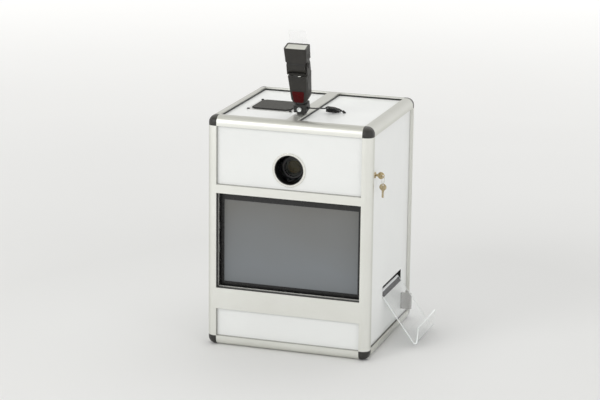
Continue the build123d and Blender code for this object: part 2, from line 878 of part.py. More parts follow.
with BuildPart() as slot_liner:
    with BuildSketch(Plane.YZ.offset(face_x - door_t - liner_len)):
        with Locations((slot_y, slot_z)):
            RectangleRounded(slot_w - 2 * liner_fit, slot_h - 2 * liner_fit, slot_r - liner_fit)
            liner_in = 2 * (liner_fit + liner_wall)
            RectangleRounded(slot_w - liner_in, slot_h - liner_in, slot_r - liner_wall, mode=Mode.SUBTRACT)
    extrude(amount=liner_len + door_t)

# Clear print tray: one bent sheet that leans into the slot and turns up again at its foot
tray_w = slot_w - 2 * tray_side_gap
slope = math.radians(tray_angle)
edge_x = face_x + (tray_t / 2 + tray_rest) * math.sin(slope)
edge_z = slot_z0 + liner_fit + liner_wall + (tray_t / 2 + tray_rest) * math.cos(slope)
tray_foot_z = tray_floor + tray_t * 0.6
tray_foot_x = edge_x + (edge_z - tray_foot_z) / math.tan(slope)
with BuildPart() as print_tray:
    with BuildSketch(Plane.XZ.offset(-slot_y - tray_w / 2)):
        with BuildLine() as tray_line:
            FilletPolyline(
                (edge_x - tray_inside * math.cos(slope), edge_z + tray_inside * math.sin(slope)),
                (tray_foot_x, tray_foot_z),
                (tray_foot_x + tray_lip_lean, tray_lip_h),
                radius=7,
            )
            offset(amount=tray_t / 2, side=Side.BOTH)
        make_face()
    extrude(amount=tray_w)

# Smoked block at the tray's rear end, with a small clip on it
block_y0 = slot_y1 + rear_block_gap
with BuildPart() as tray_rear_block:
    with BuildSketch(Plane.XZ.offset(-block_y0 - rear_block_y)):
        with Locations((face_x + rear_block_x / 2, rear_block_z0 + rear_block_h / 2)):
            RectangleRounded(rear_block_x, rear_block_h, 2)
    extrude(amount=rear_block_y)
    with BuildSketch(Plane.XZ.offset(-block_y0 - rear_block_y + 1)):
        with Locations((face_x + 0.6 * rear_block_x, rear_block_z0 + rear_block_h + clip_h / 2)):
            Rectangle(clip_x, clip_h)
    extrude(amount=rear_block_y - 2)

# Lock in the door: barrel, turning plug with its cam, and the key
with BuildPart() as lock_barrel:
    with BuildSketch(Plane.YZ.offset(face_x - door_t - lock_len)):
        with Locations((lock_y, lock_z)):
            Circle(lock_r)
            Circle(plug_r + plug_fit, mode=Mode.SUBTRACT)
    extrude(amount=door_t + lock_len)
    with BuildSketch(Plane.YZ.offset(face_x)):
        with Locations((lock_y, lock_z)):
            Circle(lock_flange_r)
            Circle(plug_r + plug_fit, mode=Mode.SUBTRACT)
    extrude(amount=lock_flange_t)
    fillet(lock_barrel.faces().sort_by(Axis.X)[-1].outer_wire().edges(), 1)

cam_x0 = face_x - door_t - lock_len - cam_gap - cam_t
with BuildPart() as lock_plug:
    with BuildSketch(Plane.YZ.offset(cam_x0)):
        with Locations((lock_y, lock_z)):
            Circle(plug_r)
    extrude(amount=face_x + lock_flange_t + 1 - cam_x0)
    with BuildSketch(Plane.YZ.offset(cam_x0)):
        with Locations((lock_y, lock_z + cam_len / 2 - cam_w / 2)):
            SlotOverall(cam_len, cam_w, rotation=90)
    extrude(amount=cam_t)

key_x0 = face_x + lock_flange_t + 1
bow_x = key_x0 + bow_stem + bow_r - 1.5
hole_x = bow_x + bow_r - bow_hole_in
with BuildPart() as door_key:
    with BuildSketch(Plane.XZ.offset(-lock_y - key_t / 2)):
        with Locations((bow_x, lock_z)):
            Circle(bow_r)
        with Locations((key_x0 + bow_stem / 2, lock_z)):
            Rectangle(bow_stem, blade_w)
        with Locations((hole_x, lock_z)):
            Circle(bow_hole_r, mode=Mode.SUBTRACT)
    extrude(amount=key_t)

ring_top_z = lock_z - bow_hole_r + wire_r + wire_gap
ring_z = ring_top_z - key_ring_r
with BuildPart() as key_ring:
    with BuildSketch(Plane.XY.offset(ring_z)):
        with Locations((hole_x, lock_y + key_ring_r)):
            Circle(wire_r)
    revolve(axis=Axis((hole_x, lock_y, ring_z), (1, 0, 0)))

hang_z = ring_z - key_ring_r
spare_hole_z = hang_z + wire_r + wire_gap - bow_hole_r
spare_z = spare_hole_z - (bow_r - bow_hole_in)
with BuildPart() as spare_key:
    with BuildSketch(Plane.XZ.offset(-lock_y - key_t / 2)):
        with Locations((hole_x, spare_z)):
            Circle(bow_r)
        with Locations((hole_x, spare_z - bow_r - blade_len / 2 + 1.5)):
            Rectangle(blade_w, blade_len)
        with Locations((hole_x, spare_hole_z)):
            Circle(bow_hole_r, mode=Mode.SUBTRACT)
    extrude(amount=key_t)

# Printer: chassis with walls that carry the roll and the platen, thermal head, cover
floor_z = recess + panel_t
wall_y0 = printer_y0 + printer_wall + chassis_gap
wall_y1 = printer_y1 - printer_wall - chassis_gap
chassis_x0 = printer_x0 + printer_wall + chassis_gap
chassis_x1 = printer_x1 - printer_wall - chassis_gap
chassis_z0 = floor_z + printer_foot
with BuildPart() as printer_chassis:
    with BuildSketch(Plane.YZ.offset(chassis_x0)):
        with Locations(((wall_y0 + wall_y1) / 2, chassis_z0 + chassis_t / 2)):
            Rectangle(wall_y1 - wall_y0, chassis_t)
        wall_mid = (chassis_z0 + chassis_z1) / 2
        with Locations((wall_y0 + chassis_t / 2, wall_mid), (wall_y1 - chassis_t / 2, wall_mid)):
            Rectangle(chassis_t, chassis_z1 - chassis_z0)
    extrude(amount=chassis_x1 - chassis_x0)
    with BuildSketch(Plane.XZ.offset(-wall_y1)):
        with Locations((roll_x, roll_z)):
            Circle(roll_shaft_r + shaft_run)
        with Locations((platen_x, platen_z)):
            Circle(platen_shaft_r + shaft_run)
    extrude(amount=wall_y1 - wall_y0, mode=Mode.SUBTRACT)
    with BuildSketch(Plane.XY.offset(floor_z)):
        with Locations(((chassis_x0 + chassis_x1) / 2, (wall_y0 + wall_y1) / 2)):
            with GridLocations(chassis_x1 - chassis_x0 - 40, wall_y1 - wall_y0 - 40, 2, 2):
                Circle(12)
    extrude(amount=printer_foot)
    head_len = wall_y1 - wall_y0 - 2 * (chassis_t + head_bar_end)
    with BuildSketch(Plane.XZ.offset(-wall_y1 + chassis_t + head_bar_end)):
        with Locations((platen_x, platen_z + platen_r + head_bar_gap + head_bar_h / 2)):
            Rectangle(head_bar_w, head_bar_h)
    extrude(amount=head_len)

with BuildPart() as printer_cover:
    cover_x = (printer_x0 + printer_x1) / 2
    cover_y = (printer_y0 + printer_y1) / 2
    cover_w = printer_x1 - printer_x0
    cover_d = printer_y1 - printer_y0
    with BuildSketch(Plane.XY.offset(chassis_z0)):
        with Locations((cover_x, cover_y)):
            RectangleRounded(cover_w, cover_d, 2)
    extrude(amount=printer_top - chassis_z0)
    with BuildSketch(Plane.XY.offset(chassis_z0)):
        with Locations((cover_x, cover_y)):
            Rectangle(cover_w - 2 * printer_wall, cover_d - 2 * printer_wall)
    extrude(amount=printer_top - printer_wall - chassis_z0, mode=Mode.SUBTRACT)
    with BuildSketch(Plane.YZ.offset(printer_x1 - 2 * printer_wall)):
        with Locations((cover_y, (exit_z0 + exit_z1) / 2)):
            Rectangle(cover_d - 2 * exit_in, exit_z1 - exit_z0)
    extrude(amount=2 * printer_wall, mode=Mode.SUBTRACT)

with BuildPart() as media_roll:
    with BuildSketch(Plane.XZ.offset(-cover_y - roll_w / 2)):
        with Locations((roll_x, roll_z)):
            Circle(roll_r)
    extrude(amount=roll_w)
    with BuildSketch(Plane.XZ.offset(-wall_y1)):
        with Locations((roll_x, roll_z)):
            Circle(roll_shaft_r)
    extrude(amount=wall_y1 - wall_y0)

with BuildPart() as platen_roller:
    with BuildSketch(Plane.XZ.offset(-cover_y - platen_w / 2)):
        with Locations((platen_x, platen_z)):
            Circle(platen_r)
    extrude(amount=platen_w)
    with BuildSketch(Plane.XZ.offset(-wall_y1)):
        with Locations((platen_x, platen_z)):
            Circle(platen_shaft_r)
    extrude(amount=wall_y1 - wall_y0)

# Computer and power supply on the base panel, power inlet with its rocker in the rear panel
with BuildPart() as mini_pc:
    with BuildSketch(Plane.XY.offset(floor_z)):
        with Locations((pc_x, pc_y)):
            RectangleRounded(pc_size, pc_size, 10)
    extrude(amount=pc_h)
    with BuildSketch(Plane.XY.offset(floor_z + pc_h - 4)):
        with Locations((pc_x, pc_y)):
            with GridLocations(1, 10, 1, 9):
                SlotOverall(110, 4)
    extrude(amount=4, mode=Mode.SUBTRACT)

with BuildPart() as power_supply:
    with BuildSketch(Plane.XY.offset(floor_z)):
        with Locations((supply_x, supply_y)):
            RectangleRounded(supply_w, supply_d, 5)
    extrude(amount=pc_h)

inlet_face = face_y + inlet_t
rocker_y = inlet_face - rocker_r + 1.5
with BuildPart() as power_inlet:
    with BuildSketch(Plane.XZ.offset(-inlet_face)):
        with Locations((inlet_x, inlet_z)):
            RectangleRounded(inlet_w, inlet_h, 3)
    extrude(amount=inlet_t)
    with BuildSketch(Plane.XZ.offset(-face_y)):
        with Locations((inlet_x, inlet_z)):
            Rectangle(inlet_body_w, inlet_body_h)
    extrude(amount=inlet_body_d)
    with BuildSketch(Plane.XZ.offset(-inlet_face)):
        with Locations((inlet_x, inlet_z - rocker_up)):
            RectangleRounded(socket_w, socket_h, 2)
    extrude(amount=socket_d, mode=Mode.SUBTRACT)
    with BuildSketch(Plane.XZ.offset(-inlet_face + socket_d)):
        with Locations((inlet_x, inlet_z - rocker_up)):
            with Locations((-7, 0), (7, 0), (0, 4)):
                Rectangle(2, 5)
    extrude(amount=-socket_pin)
    with BuildSketch(Plane.YZ.offset(inlet_x - rocker_w / 2 - rocker_fit)):
        with Locations((rocker_y, inlet_z + rocker_up)):
            Circle(rocker_r + rocker_fit)
    extrude(amount=rocker_w + 2 * rocker_fit, mode=Mode.SUBTRACT)

with BuildPart() as rocker_switch:
    with BuildSketch(Plane.YZ.offset(inlet_x - rocker_w / 2)):
        with Locations((rocker_y, inlet_z + rocker_up)):
            Circle(rocker_r)
            with Locations((rocker_r + 3, -4)):
                Rectangle(10, 12, rotation=12, mode=Mode.SUBTRACT)
    extrude(amount=rocker_w)

# Flash: foot on the centre bar, shoe block, body, turret and head, all along the leaning axis
with BuildPart() as shoe_foot:
    with BuildSketch(Plane.XY.offset(height)):
        with Locations((0, shoe_y)):
            RectangleRounded(shoe_foot_w, shoe_foot_d, 4)
    extrude(amount=2 * shoe_foot_h)
    split(bisect_by=flash_plane, keep=Keep.BOTTOM)

with BuildPart() as shoe_block:
    with BuildSketch(flash_plane):
        RectangleRounded(shoe_w, shoe_d, 4)
    extrude(amount=shoe_h)
    knob_plane = Plane(
        origin=flash_plane.from_local_coords((0, -shoe_d / 2, knob_w)), x_dir=(1, 0, 0), z_dir=-flash_plane.y_dir
    )
    with BuildSketch(knob_plane):
        Circle(knob_stem_r + knob_fit)
    extrude(amount=-knob_stem - 1, mode=Mode.SUBTRACT)

with BuildPart() as clamp_knob:
    with BuildSketch(knob_plane.offset(0.4)):
        Circle(knob_r)
    extrude(amount=knob_t)
    fillet(clamp_knob.edges(), 1)
    with BuildSketch(knob_plane.offset(-knob_stem)):
        Circle(knob_stem_r)
    extrude(amount=knob_stem + 1)


def flash_section(w, d, back, inset, corner):
    """Rounded section of the flash, its middle moved back along the local Y axis."""
    with BuildSketch() as section:
        with Locations((0, back)):
            RectangleRounded(w - 2 * inset, d - 2 * inset, corner)
    return section.sketch


shoulder_d = body_d - 2 * body_taper * (body_z1 - shoulder_z) / (body_z1 - body_z0)
with BuildPart() as flash_body:
    with BuildSketch(flash_plane.offset(body_z0)):
        add(flash_section(body_w0, body_d - 2 * body_taper, body_back, 0, body_corner))
    with BuildSketch(flash_plane.offset(shoulder_z)):
        add(flash_section(shoulder_w, shoulder_d, body_back, 0, body_corner))
    with BuildSketch(flash_plane.offset(body_z1)):
        add(flash_section(body_w1, body_d, body_back, 0, body_corner))
    loft(ruled=True)
    with BuildSketch(flash_plane.offset(shoulder_z + body_wall)):
        add(flash_section(shoulder_w, shoulder_d, body_back, body_wall, body_corner - body_wall))
    with BuildSketch(flash_plane.offset(body_z1 - body_wall)):
        add(flash_section(body_w1, body_d, body_back, body_wall, body_corner - body_wall))
    loft(mode=Mode.SUBTRACT)
    with BuildSketch(flash_plane.offset(shoe_h)):
        Circle(foot_r)
    extrude(amount=body_z0 - shoe_h)

# Red window set on the lower front of the body
front_tilt = math.atan2(body_taper, body_z1 - body_z0)
window_y = body_back - body_d / 2 + body_taper * (body_z1 - window_z) / (body_z1 - body_z0)
window_plane = Plane(
    origin=flash_plane.from_local_coords((0, window_y, window_z)),
    x_dir=(1, 0, 0),
    z_dir=-flash_plane.y_dir * math.cos(front_tilt) - flash_plane.z_dir * math.sin(front_tilt),
)
with BuildPart() as flash_red_window:
    with BuildSketch(window_plane):
        window = Trapezoid(window_w, window_h, window_angle, rotation=180)
        fillet(window.vertices(), window_corner)
    extrude(amount=window_t)
    fillet(flash_red_window.faces().sort_by(Axis.Y)[0].edges(), window_edge)

turret_z0 = body_z1 + turret_gap
turret_z1 = turret_z0 + turret_h
ear_x = barrel_w / 2 + ear_gap + ear_t / 2
with BuildPart() as flash_turret:
    with BuildSketch(flash_plane.offset(turret_z0)):
        Circle(turret_r)
    extrude(amount=turret_h)
    with BuildSketch(flash_plane.offset(turret_z1 - yoke_t)):
        Rectangle(2 * ear_x + ear_t, 2 * ear_half)
    extrude(amount=yoke_t)
    with BuildSketch(flash_plane.offset(turret_z1)):
        with Locations((ear_x, 0), (-ear_x, 0)):
            Rectangle(ear_t, 2 * ear_half)
    extrude(amount=tilt_z - turret_z1)
    for side in (1, -1):
        ear_plane = Plane(
            origin=flash_plane.from_local_coords((side * ear_x - ear_t / 2, 0, tilt_z)),
            x_dir=flash_plane.y_dir,
            z_dir=(1, 0, 0),
        )
        with BuildSketch(ear_plane):
            Circle(ear_half)
        extrude(amount=ear_t)
    pin_plane = Plane(
        origin=flash_plane.from_local_coords((-ear_x, 0, tilt_z)), x_dir=flash_plane.y_dir, z_dir=(1, 0, 0)
    )
    with BuildSketch(pin_plane):
        Circle(tilt_pin_r)
    extrude(amount=2 * ear_x)
    with BuildSketch(pin_plane.offset(2 * ear_x + ear_t / 2)):
        Circle(button_r)
    extrude(amount=button_t)

with BuildPart() as flash_head:
    with BuildSketch(flash_plane.offset(head_z0)):
        add(flash_section(head_w0, head_d0, 0, 0, 6))
    with BuildSketch(flash_plane.offset(head_z1)):
        add(flash_section(head_w1, head_d1, head_shift, 0, 6))
    loft()
    with BuildSketch(flash_plane.offset(tilt_z)):
        Rectangle(barrel_w, 2 * barrel_r)
    extrude(amount=head_z0 - tilt_z + 2)
    barrel_plane = Plane(
        origin=flash_plane.from_local_coords((-barrel_w / 2, 0, tilt_z)), x_dir=flash_plane.y_dir, z_dir=(1, 0, 0)
    )
    with BuildSketch(barrel_plane):
        Circle(barrel_r)
    extrude(amount=barrel_w)
    with BuildSketch(barrel_plane):
        Circle(tilt_pin_r + tilt_fit)
    extrude(amount=barrel_w, mode=Mode.SUBTRACT)
    # Window recess and the reflector's hollow, then the pocket of the bounce card
    with BuildSketch(flash_plane.offset(head_z1 - lens_t)):
        with Locations((0, lens_shift)):
            RectangleRounded(lens_w + 0.6, lens_d + 0.6, 3)
    extrude(amount=lens_t, mode=Mode.SUBTRACT)
    with BuildSketch(flash_plane.offset(head_z1 - lens_t - 22)):
        with Locations((0, lens_shift)):
            RectangleRounded(lens_w - 6, lens_d - 6, 3)
    extrude(amount=22, mode=Mode.SUBTRACT)
    with BuildSketch(flash_plane.offset(head_z1 - card_pocket)):
        with Locations((0, card_at)):
            Rectangle(card_w + 2 * card_fit, card_t + 2 * card_fit)
    extrude(amount=card_pocket, mode=Mode.SUBTRACT)

with BuildPart() as flash_lens:
    with BuildSketch(flash_plane.offset(head_z1 - lens_t)):
        with Locations((0, lens_shift)):
            RectangleRounded(lens_w, lens_d, 3)
    extrude(amount=lens_t)

with BuildPart() as bounce_card:
    with BuildSketch(flash_plane.offset(head_z1 - 4)):
        with Locations((0, card_at)):
            Rectangle(card_w, card_t)
    extrude(amount=card_out + 4)

# Cord: thin stretch, the outer shape of its curly part, short tail into the gland
def corner_radii(points):
    """The largest arc that each corner of a route leaves room for."""
    radii = []
    for before, at, after in zip(points, points[1:], points[2:]):
        run_in = Vector(at) - Vector(before)
        run_out = Vector(after) - Vector(at)
        turn = math.radians(run_in.get_angle(run_out))
        radii.append(0.45 * min(run_in.length, run_out.length) / math.tan(turn / 2))
    return radii


with BuildPart() as flash_cord:
    for route in (cord_route, cord_tail):
        radii = corner_radii(route)
        print("cord radii", [round(radius, 1) for radius in radii])
        with BuildLine() as cord_path:
            FilletPolyline(*route, radius=radii)
        with BuildSketch(Plane(origin=route[0], z_dir=Vector(route[1]) - Vector(route[0]))):
            Circle(cord_r)
        sweep()

coil_axis = Vector(coil_end) - Vector(coil_start)
with BuildPart() as flash_cord_coil:
    with BuildSketch(Plane(origin=coil_start, z_dir=coil_axis)):
        Circle(coil_r)
    with BuildSketch(Plane(origin=coil_end, z_dir=coil_axis)):
        Circle(coil_end_r)
    loft()

tail_run = Vector(cord_tail[-1]) - Vector(cord_tail[-2])
gland_plane = Plane(
    origin=(cord_tail[-1][0], cord_tail[-1][1], top_face), x_dir=(tail_run.X, tail_run.Y, 0), z_dir=(0, 0, 1)
)
with BuildPart() as cord_gland:
    with BuildSketch(gland_plane):
        with Locations((gland_len / 2 + gland_gap, 0)):
            RectangleRounded(gland_len, gland_w, gland_w / 2 - 1)
    extrude(amount=gland_h)
    fillet(cord_gland.faces().sort_by(Axis.Z)[-1].edges(), 2)

pieces = {
    "corner_posts": corner_posts,
    "frame_rails": frame_rails,
    "corner_caps": corner_caps,
    "front_crossbars": front_crossbars,
    "top_centre_bar": top_centre_bar,
    "upper_front_panel": upper_front_panel,
    "lower_front_panel": lower_front_panel,
    "left_side_panel": left_side_panel,
    "rear_panel": rear_panel,
    "base_panel": base_panel,
    "top_left_panel": top_left_panel,
    "top_right_panel": top_right_panel,
    "panel_seals": panel_seals,
    "monitor_bezel": monitor_bezel,
    "monitor_screen": monitor_screen,
    "monitor_housing": monitor_housing,
    "monitor_crossbars": monitor_crossbars,
    "lens_ring": lens_ring,
    "lens_shroud": lens_shroud,
    "lens_barrel": lens_barrel,
    "lens_zoom_ring": lens_zoom_ring,
    "lens_front_glass": lens_front_glass,
    "camera_body": camera_body,
    "camera_shelf": camera_shelf,
    "vent_plate": vent_plate,
    "vent_filter": vent_filter,
    "screws": screws,
    "fan_frame": fan_frame,
    "fan_rotor": fan_rotor,
    "door_panel": door_panel,
    "door_pivot_pins": door_pivot_pins,
    "door_stops": door_stops,
    "slot_liner": slot_liner,
    "print_tray": print_tray,
    "tray_rear_block": tray_rear_block,
    "lock_barrel": lock_barrel,
    "lock_plug": lock_plug,
    "door_key": door_key,
    "key_ring": key_ring,
    "spare_key": spare_key,
    "printer_chassis": printer_chassis,
    "printer_cover": printer_cover,
    "media_roll": media_roll,
    "platen_roller": platen_roller,
    "mini_pc": mini_pc,
    "power_supply": power_supply,
    "power_inlet": power_inlet,
    "rocker_switch": rocker_switch,
    "shoe_foot": shoe_foot,
    "shoe_block": shoe_block,
    "clamp_knob": clamp_knob,
    "flash_body": flash_body,
    "flash_red_window": flash_red_window,
    "flash_turret": flash_turret,
    "flash_head": flash_head,
    "flash_lens": flash_lens,
    "bounce_card": bounce_card,
    "flash_cord": flash_cord,
    "flash_cord_coil": flash_cord_coil,
    "cord_gland": cord_gland,
}

for name, piece in pieces.items():
    piece.part.label = name
    export_step(piece.part, f"parts/{name}.step")
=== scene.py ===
import json
import math

import bmesh
import bpy
from mathutils import Matrix, Vector, noise


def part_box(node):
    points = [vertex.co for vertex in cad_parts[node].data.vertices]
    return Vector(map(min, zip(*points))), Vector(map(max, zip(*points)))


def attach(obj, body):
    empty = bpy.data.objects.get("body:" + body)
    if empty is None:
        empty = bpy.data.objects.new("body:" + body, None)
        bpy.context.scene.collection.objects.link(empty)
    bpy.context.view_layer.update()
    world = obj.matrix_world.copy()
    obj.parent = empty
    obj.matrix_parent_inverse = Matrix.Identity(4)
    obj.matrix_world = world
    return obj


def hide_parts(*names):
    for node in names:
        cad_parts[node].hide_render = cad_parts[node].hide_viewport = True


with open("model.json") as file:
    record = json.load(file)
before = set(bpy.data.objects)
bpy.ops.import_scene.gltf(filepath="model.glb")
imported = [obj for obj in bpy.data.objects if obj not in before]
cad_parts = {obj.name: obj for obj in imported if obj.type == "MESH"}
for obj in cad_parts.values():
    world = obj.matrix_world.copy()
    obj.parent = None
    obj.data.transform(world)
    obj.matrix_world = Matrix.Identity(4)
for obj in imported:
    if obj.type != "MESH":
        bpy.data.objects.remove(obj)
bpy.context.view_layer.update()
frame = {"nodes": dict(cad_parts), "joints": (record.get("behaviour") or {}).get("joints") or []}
nodes = frame["nodes"]
joints = {joint["name"]: joint for joint in frame["joints"]}
print("frame loaded:", len(nodes), "nodes")

cameraSettings = {
    "place": (2.27716, -7.14470, 2.42932),
    "aim": (-0.29891, 0.92001, -0.25343),
    "roll": math.radians(0.648),
    "lens": 136.27,
    "sensor": 36.0,
}


def placeCamera():
    data = bpy.data.cameras.new("boothCamera")
    data.lens = cameraSettings["lens"]
    data.sensor_width = cameraSettings["sensor"]
    data.clip_end = 60
    camera = bpy.data.objects.new("boothCamera", data)
    aim = Vector(cameraSettings["aim"]).normalized()
    right = aim.cross(Vector((0, 0, 1))).normalized()
    up = right.cross(aim)
    turn = cameraSettings["roll"]
    across = right * math.cos(turn) + up * math.sin(turn)
    above = up * math.cos(turn) - right * math.sin(turn)
    facing = Matrix((across, above, -aim)).transposed().to_4x4()
    camera.matrix_world = Matrix.Translation(cameraSettings["place"]) @ facing
    bpy.context.scene.collection.objects.link(camera)
    bpy.context.scene.camera = camera


placeCamera()


def grey(level):
    return (level, level, level)


# a finish is a Principled shader with a few texture nodes in front of it

def newFinish(name, settings):
    finish = bpy.data.materials.new(name)
    finish.use_nodes = True
    shader = finish.node_tree.nodes["Principled BSDF"]
    for socket, value in settings.items():
        shader.inputs[socket].default_value = value
    return finish


def addNode(finish, kind, inputs, **options):
    node = finish.node_tree.nodes.new("ShaderNode" + kind)
    for option, value in options.items():
        setattr(node, option, value)
    for socket, value in inputs.items():
        if isinstance(value, bpy.types.NodeSocket):
            finish.node_tree.links.new(value, node.inputs[socket])
        else:
            node.inputs[socket].default_value = value
    return node


def toShader(finish, socket, output):
    shader = finish.node_tree.nodes["Principled BSDF"]
    finish.node_tree.links.new(output, shader.inputs[socket])


def surfacePoint(finish, stretch=(1, 1, 1)):
    point = addNode(finish, "TexCoord", {}).outputs["Object"]
    return addNode(finish, "Mapping", {"Vector": point, "Scale": stretch}).outputs["Vector"]


def noiseAt(finish, point, size, detail=3.0, rough=0.55):
    inputs = {"Vector": point, "Scale": 1 / size, "Detail": detail, "Roughness": rough}
    return addNode(finish, "TexNoise", inputs).outputs["Fac"]


def cellsAt(finish, point, size, feature="F1"):
    inputs = {"Vector": point, "Scale": 1 / size}
    return addNode(finish, "TexVoronoi", inputs, feature=feature).outputs["Distance"]


def colourRamp(finish, value, dark, light, low=0.3, high=0.7):
    ramp = addNode(finish, "ValToRGB", {"Fac": value})
    for stop, place, colour in zip(ramp.color_ramp.elements, (low, high), (dark, light)):
        stop.position = place
        stop.color = (*colour, 1)
    return ramp.outputs["Color"]


def numberRamp(finish, value, low, high, fromLow=0.3, fromHigh=0.7):
    inputs = {"Value": value, "From Min": fromLow, "From Max": fromHigh, "To Min": low, "To Max": high}
    return addNode(finish, "MapRange", inputs).outputs["Result"]


def maths(finish, operation, first, second=0.0):
    node = addNode(finish, "Math", {0: first, 1: second}, operation=operation)
    return node.outputs["Value"]


def mixNumbers(finish, amount, first, second):
    node = addNode(finish, "Mix", {0: amount, 2: first, 3: second}, data_type="FLOAT")
    return node.outputs[0]


def mixColours(finish, amount, first, second):
    colours = [(*colour, 1) if isinstance(colour, tuple) else colour for colour in (first, second)]
    node = addNode(finish, "Mix", {0: amount, 6: colours[0], 7: colours[1]}, data_type="RGBA")
    return node.outputs[2]


def addBump(finish, height, depth, strength=1.0):
    node = addNode(finish, "Bump", {"Height": height, "Distance": depth, "Strength": strength})
    toShader(finish, "Normal", node.outputs["Normal"])


def facingUp(finish, low=0.55, high=0.95):
    normal = addNode(finish, "NewGeometry", {}).outputs["Normal"]
    upward = addNode(finish, "SeparateXYZ", {"Vector": normal}).outputs["Z"]
    return numberRamp(finish, upward, 0, 1, low, high)


def settledDust(finish, colour, amount, dust=(0.42, 0.41, 0.38)):
    # fine pale dust on whatever faces up, thin and uneven
    speckle = noiseAt(finish, surfacePoint(finish), 0.004, 5, 0.7)
    patchy = numberRamp(finish, speckle, 0.2, amount, 0.35, 0.75)
    share = maths(finish, "MULTIPLY", patchy, facingUp(finish))
    return mixColours(finish, share, colour, dust)


anodised = {
    "dark": (0.755, 0.755, 0.705),
    "light": (0.835, 0.840, 0.800),
    "metal": 0.86,
    "roughness": (0.36, 0.48),
    "rim": (0.50, 0.50, 0.45),  # painted shade: darker tone where the surface turns away from view
    "lineShare": 0.6,  # rest of the tone comes from a soft cloud
    "drawLine": 0.0005,  # spacing of the draw lines
    "along": 0.012,  # how much a line is stretched along the profile
    "railReach": 0.0336,  # from the cabinet's side to the rails' inner edge
}


def drawLines(finish, stretched, point):
    lines = noiseAt(finish, stretched, anodised["drawLine"], 4, 0.6)
    cloud = noiseAt(finish, point, 0.14, 2, 0.4)
    tone = mixNumbers(finish, anodised["lineShare"], cloud, lines)
    colour = colourRamp(finish, tone, anodised["dark"], anodised["light"])
    # the rim tone mixed in at grazing angles is painted shade on the rounded profiles
    facing = addNode(finish, "LayerWeight", {"Blend": 0.5}).outputs["Facing"]
    turned = numberRamp(finish, facing, 0, 0.75, 0.35, 1.0)
    toShader(finish, "Base Color", mixColours(finish, turned, colour, anodised["rim"]))
    toShader(finish, "Roughness", numberRamp(finish, lines, *anodised["roughness"]))
    addBump(finish, lines, 0.00002, 0.4)


def anodisedFinish(name, along):
    finish = newFinish(name, {"Metallic": anodised["metal"], "Specular IOR Level": 0.5})
    stretch = tuple(anodised["along"] if axis in along else 1.0 for axis in "XYZ")
    drawLines(finish, surfacePoint(finish, stretch), surfacePoint(finish))
    return finish


def railFinish():
    # the rails along X and the rails along Y are one node, told apart by their distance from the middle
    finish = newFinish("anodisedRail", {"Metallic": anodised["metal"], "Specular IOR Level": 0.5})
    point = addNode(finish, "TexCoord", {}).outputs["Object"]
    parts = addNode(finish, "SeparateXYZ", {"Vector": point}).outputs
    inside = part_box("corner_posts")[1].x - anodised["railReach"]
    sideRail = maths(finish, "GREATER_THAN", maths(finish, "ABSOLUTE", parts["X"]), inside)
    acrossX = maths(finish, "MULTIPLY", parts["X"], numberRamp(finish, sideRail, anodised["along"], 1, 0, 1))
    acrossY = maths(finish, "MULTIPLY", parts["Y"], numberRamp(finish, sideRail, 1, anodised["along"], 0, 1))
    stretched = addNode(finish, "CombineXYZ", {"X": acrossX, "Y": acrossY, "Z": parts["Z"]}).outputs["Vector"]
    drawLines(finish, stretched, point)
    return finish


laminate = {
    "dark": (0.805, 0.815, 0.805),
    "light": (0.830, 0.842, 0.830),
    "roughness": (0.32, 0.42),
    "peel": 0.0011,  # size of the orange peel
}


def laminateFinish():
    finish = newFinish("whiteLaminate", {"Coat Weight": 0.12, "Coat Roughness": 0.18})
    point = surfacePoint(finish)
    cloud = noiseAt(finish, point, 0.16, 3, 0.5)
    rubbed = noiseAt(finish, surfacePoint(finish, (1, 1, 0.25)), 0.03, 6, 0.65)
    peel = noiseAt(finish, point, laminate["peel"], 2, 0.4)
    mixed = mixNumbers(finish, 0.15, cloud, rubbed)
    toShader(finish, "Base Color", colourRamp(finish, mixed, laminate["dark"], laminate["light"]))
    toShader(finish, "Roughness", numberRamp(finish, rubbed, *laminate["roughness"]))
    addBump(finish, peel, 0.00004, 0.5)
    return finish


def mouldedFinish(name, dark, light, grain, roughness, depth=0.00006, dust=0.0):
    # moulded plastic: spark-eroded grain, a slight mottling and uneven sheen
    finish = newFinish(name, {"Specular IOR Level": 0.45})
    point = surfacePoint(finish)
    fine = noiseAt(finish, point, grain, 2, 0.5)
    mottle = noiseAt(finish, point, grain * 22, 4, 0.6)
    colour = colourRamp(finish, mottle, dark, light)
    if dust:
        colour = settledDust(finish, colour, dust)
    toShader(finish, "Base Color", colour)
    toShader(finish, "Roughness", numberRamp(finish, mottle, roughness - 0.07, roughness + 0.07))
    addBump(finish, fine, depth, 0.6)
    return finish


rubberSheen = {"Specular IOR Level": 0.3, "Sheen Weight": 0.15, "Sheen Roughness": 0.5}


def rubberFinish(name, dark, light, roughness):
    finish = newFinish(name, rubberSheen)
    point = surfacePoint(finish)
    bloom = noiseAt(finish, point, 0.012, 5, 0.65)
    pores = cellsAt(finish, point, 0.0009)
    toShader(finish, "Base Color", settledDust(finish, colourRamp(finish, bloom, dark, light), 0.18))
    toShader(finish, "Roughness", numberRamp(finish, bloom, roughness - 0.08, roughness + 0.08))
    addBump(finish, pores, 0.00005, 0.4)
    return finish


sealSettings = {
    "dark": (0.020, 0.020, 0.019),
    # paler copy of the seal rubber round the front panels: painted light
    "front": (0.42, 0.42, 0.40),
    "frontDepth": 0.030,  # how far behind the cabinet's front the paler seals reach
}


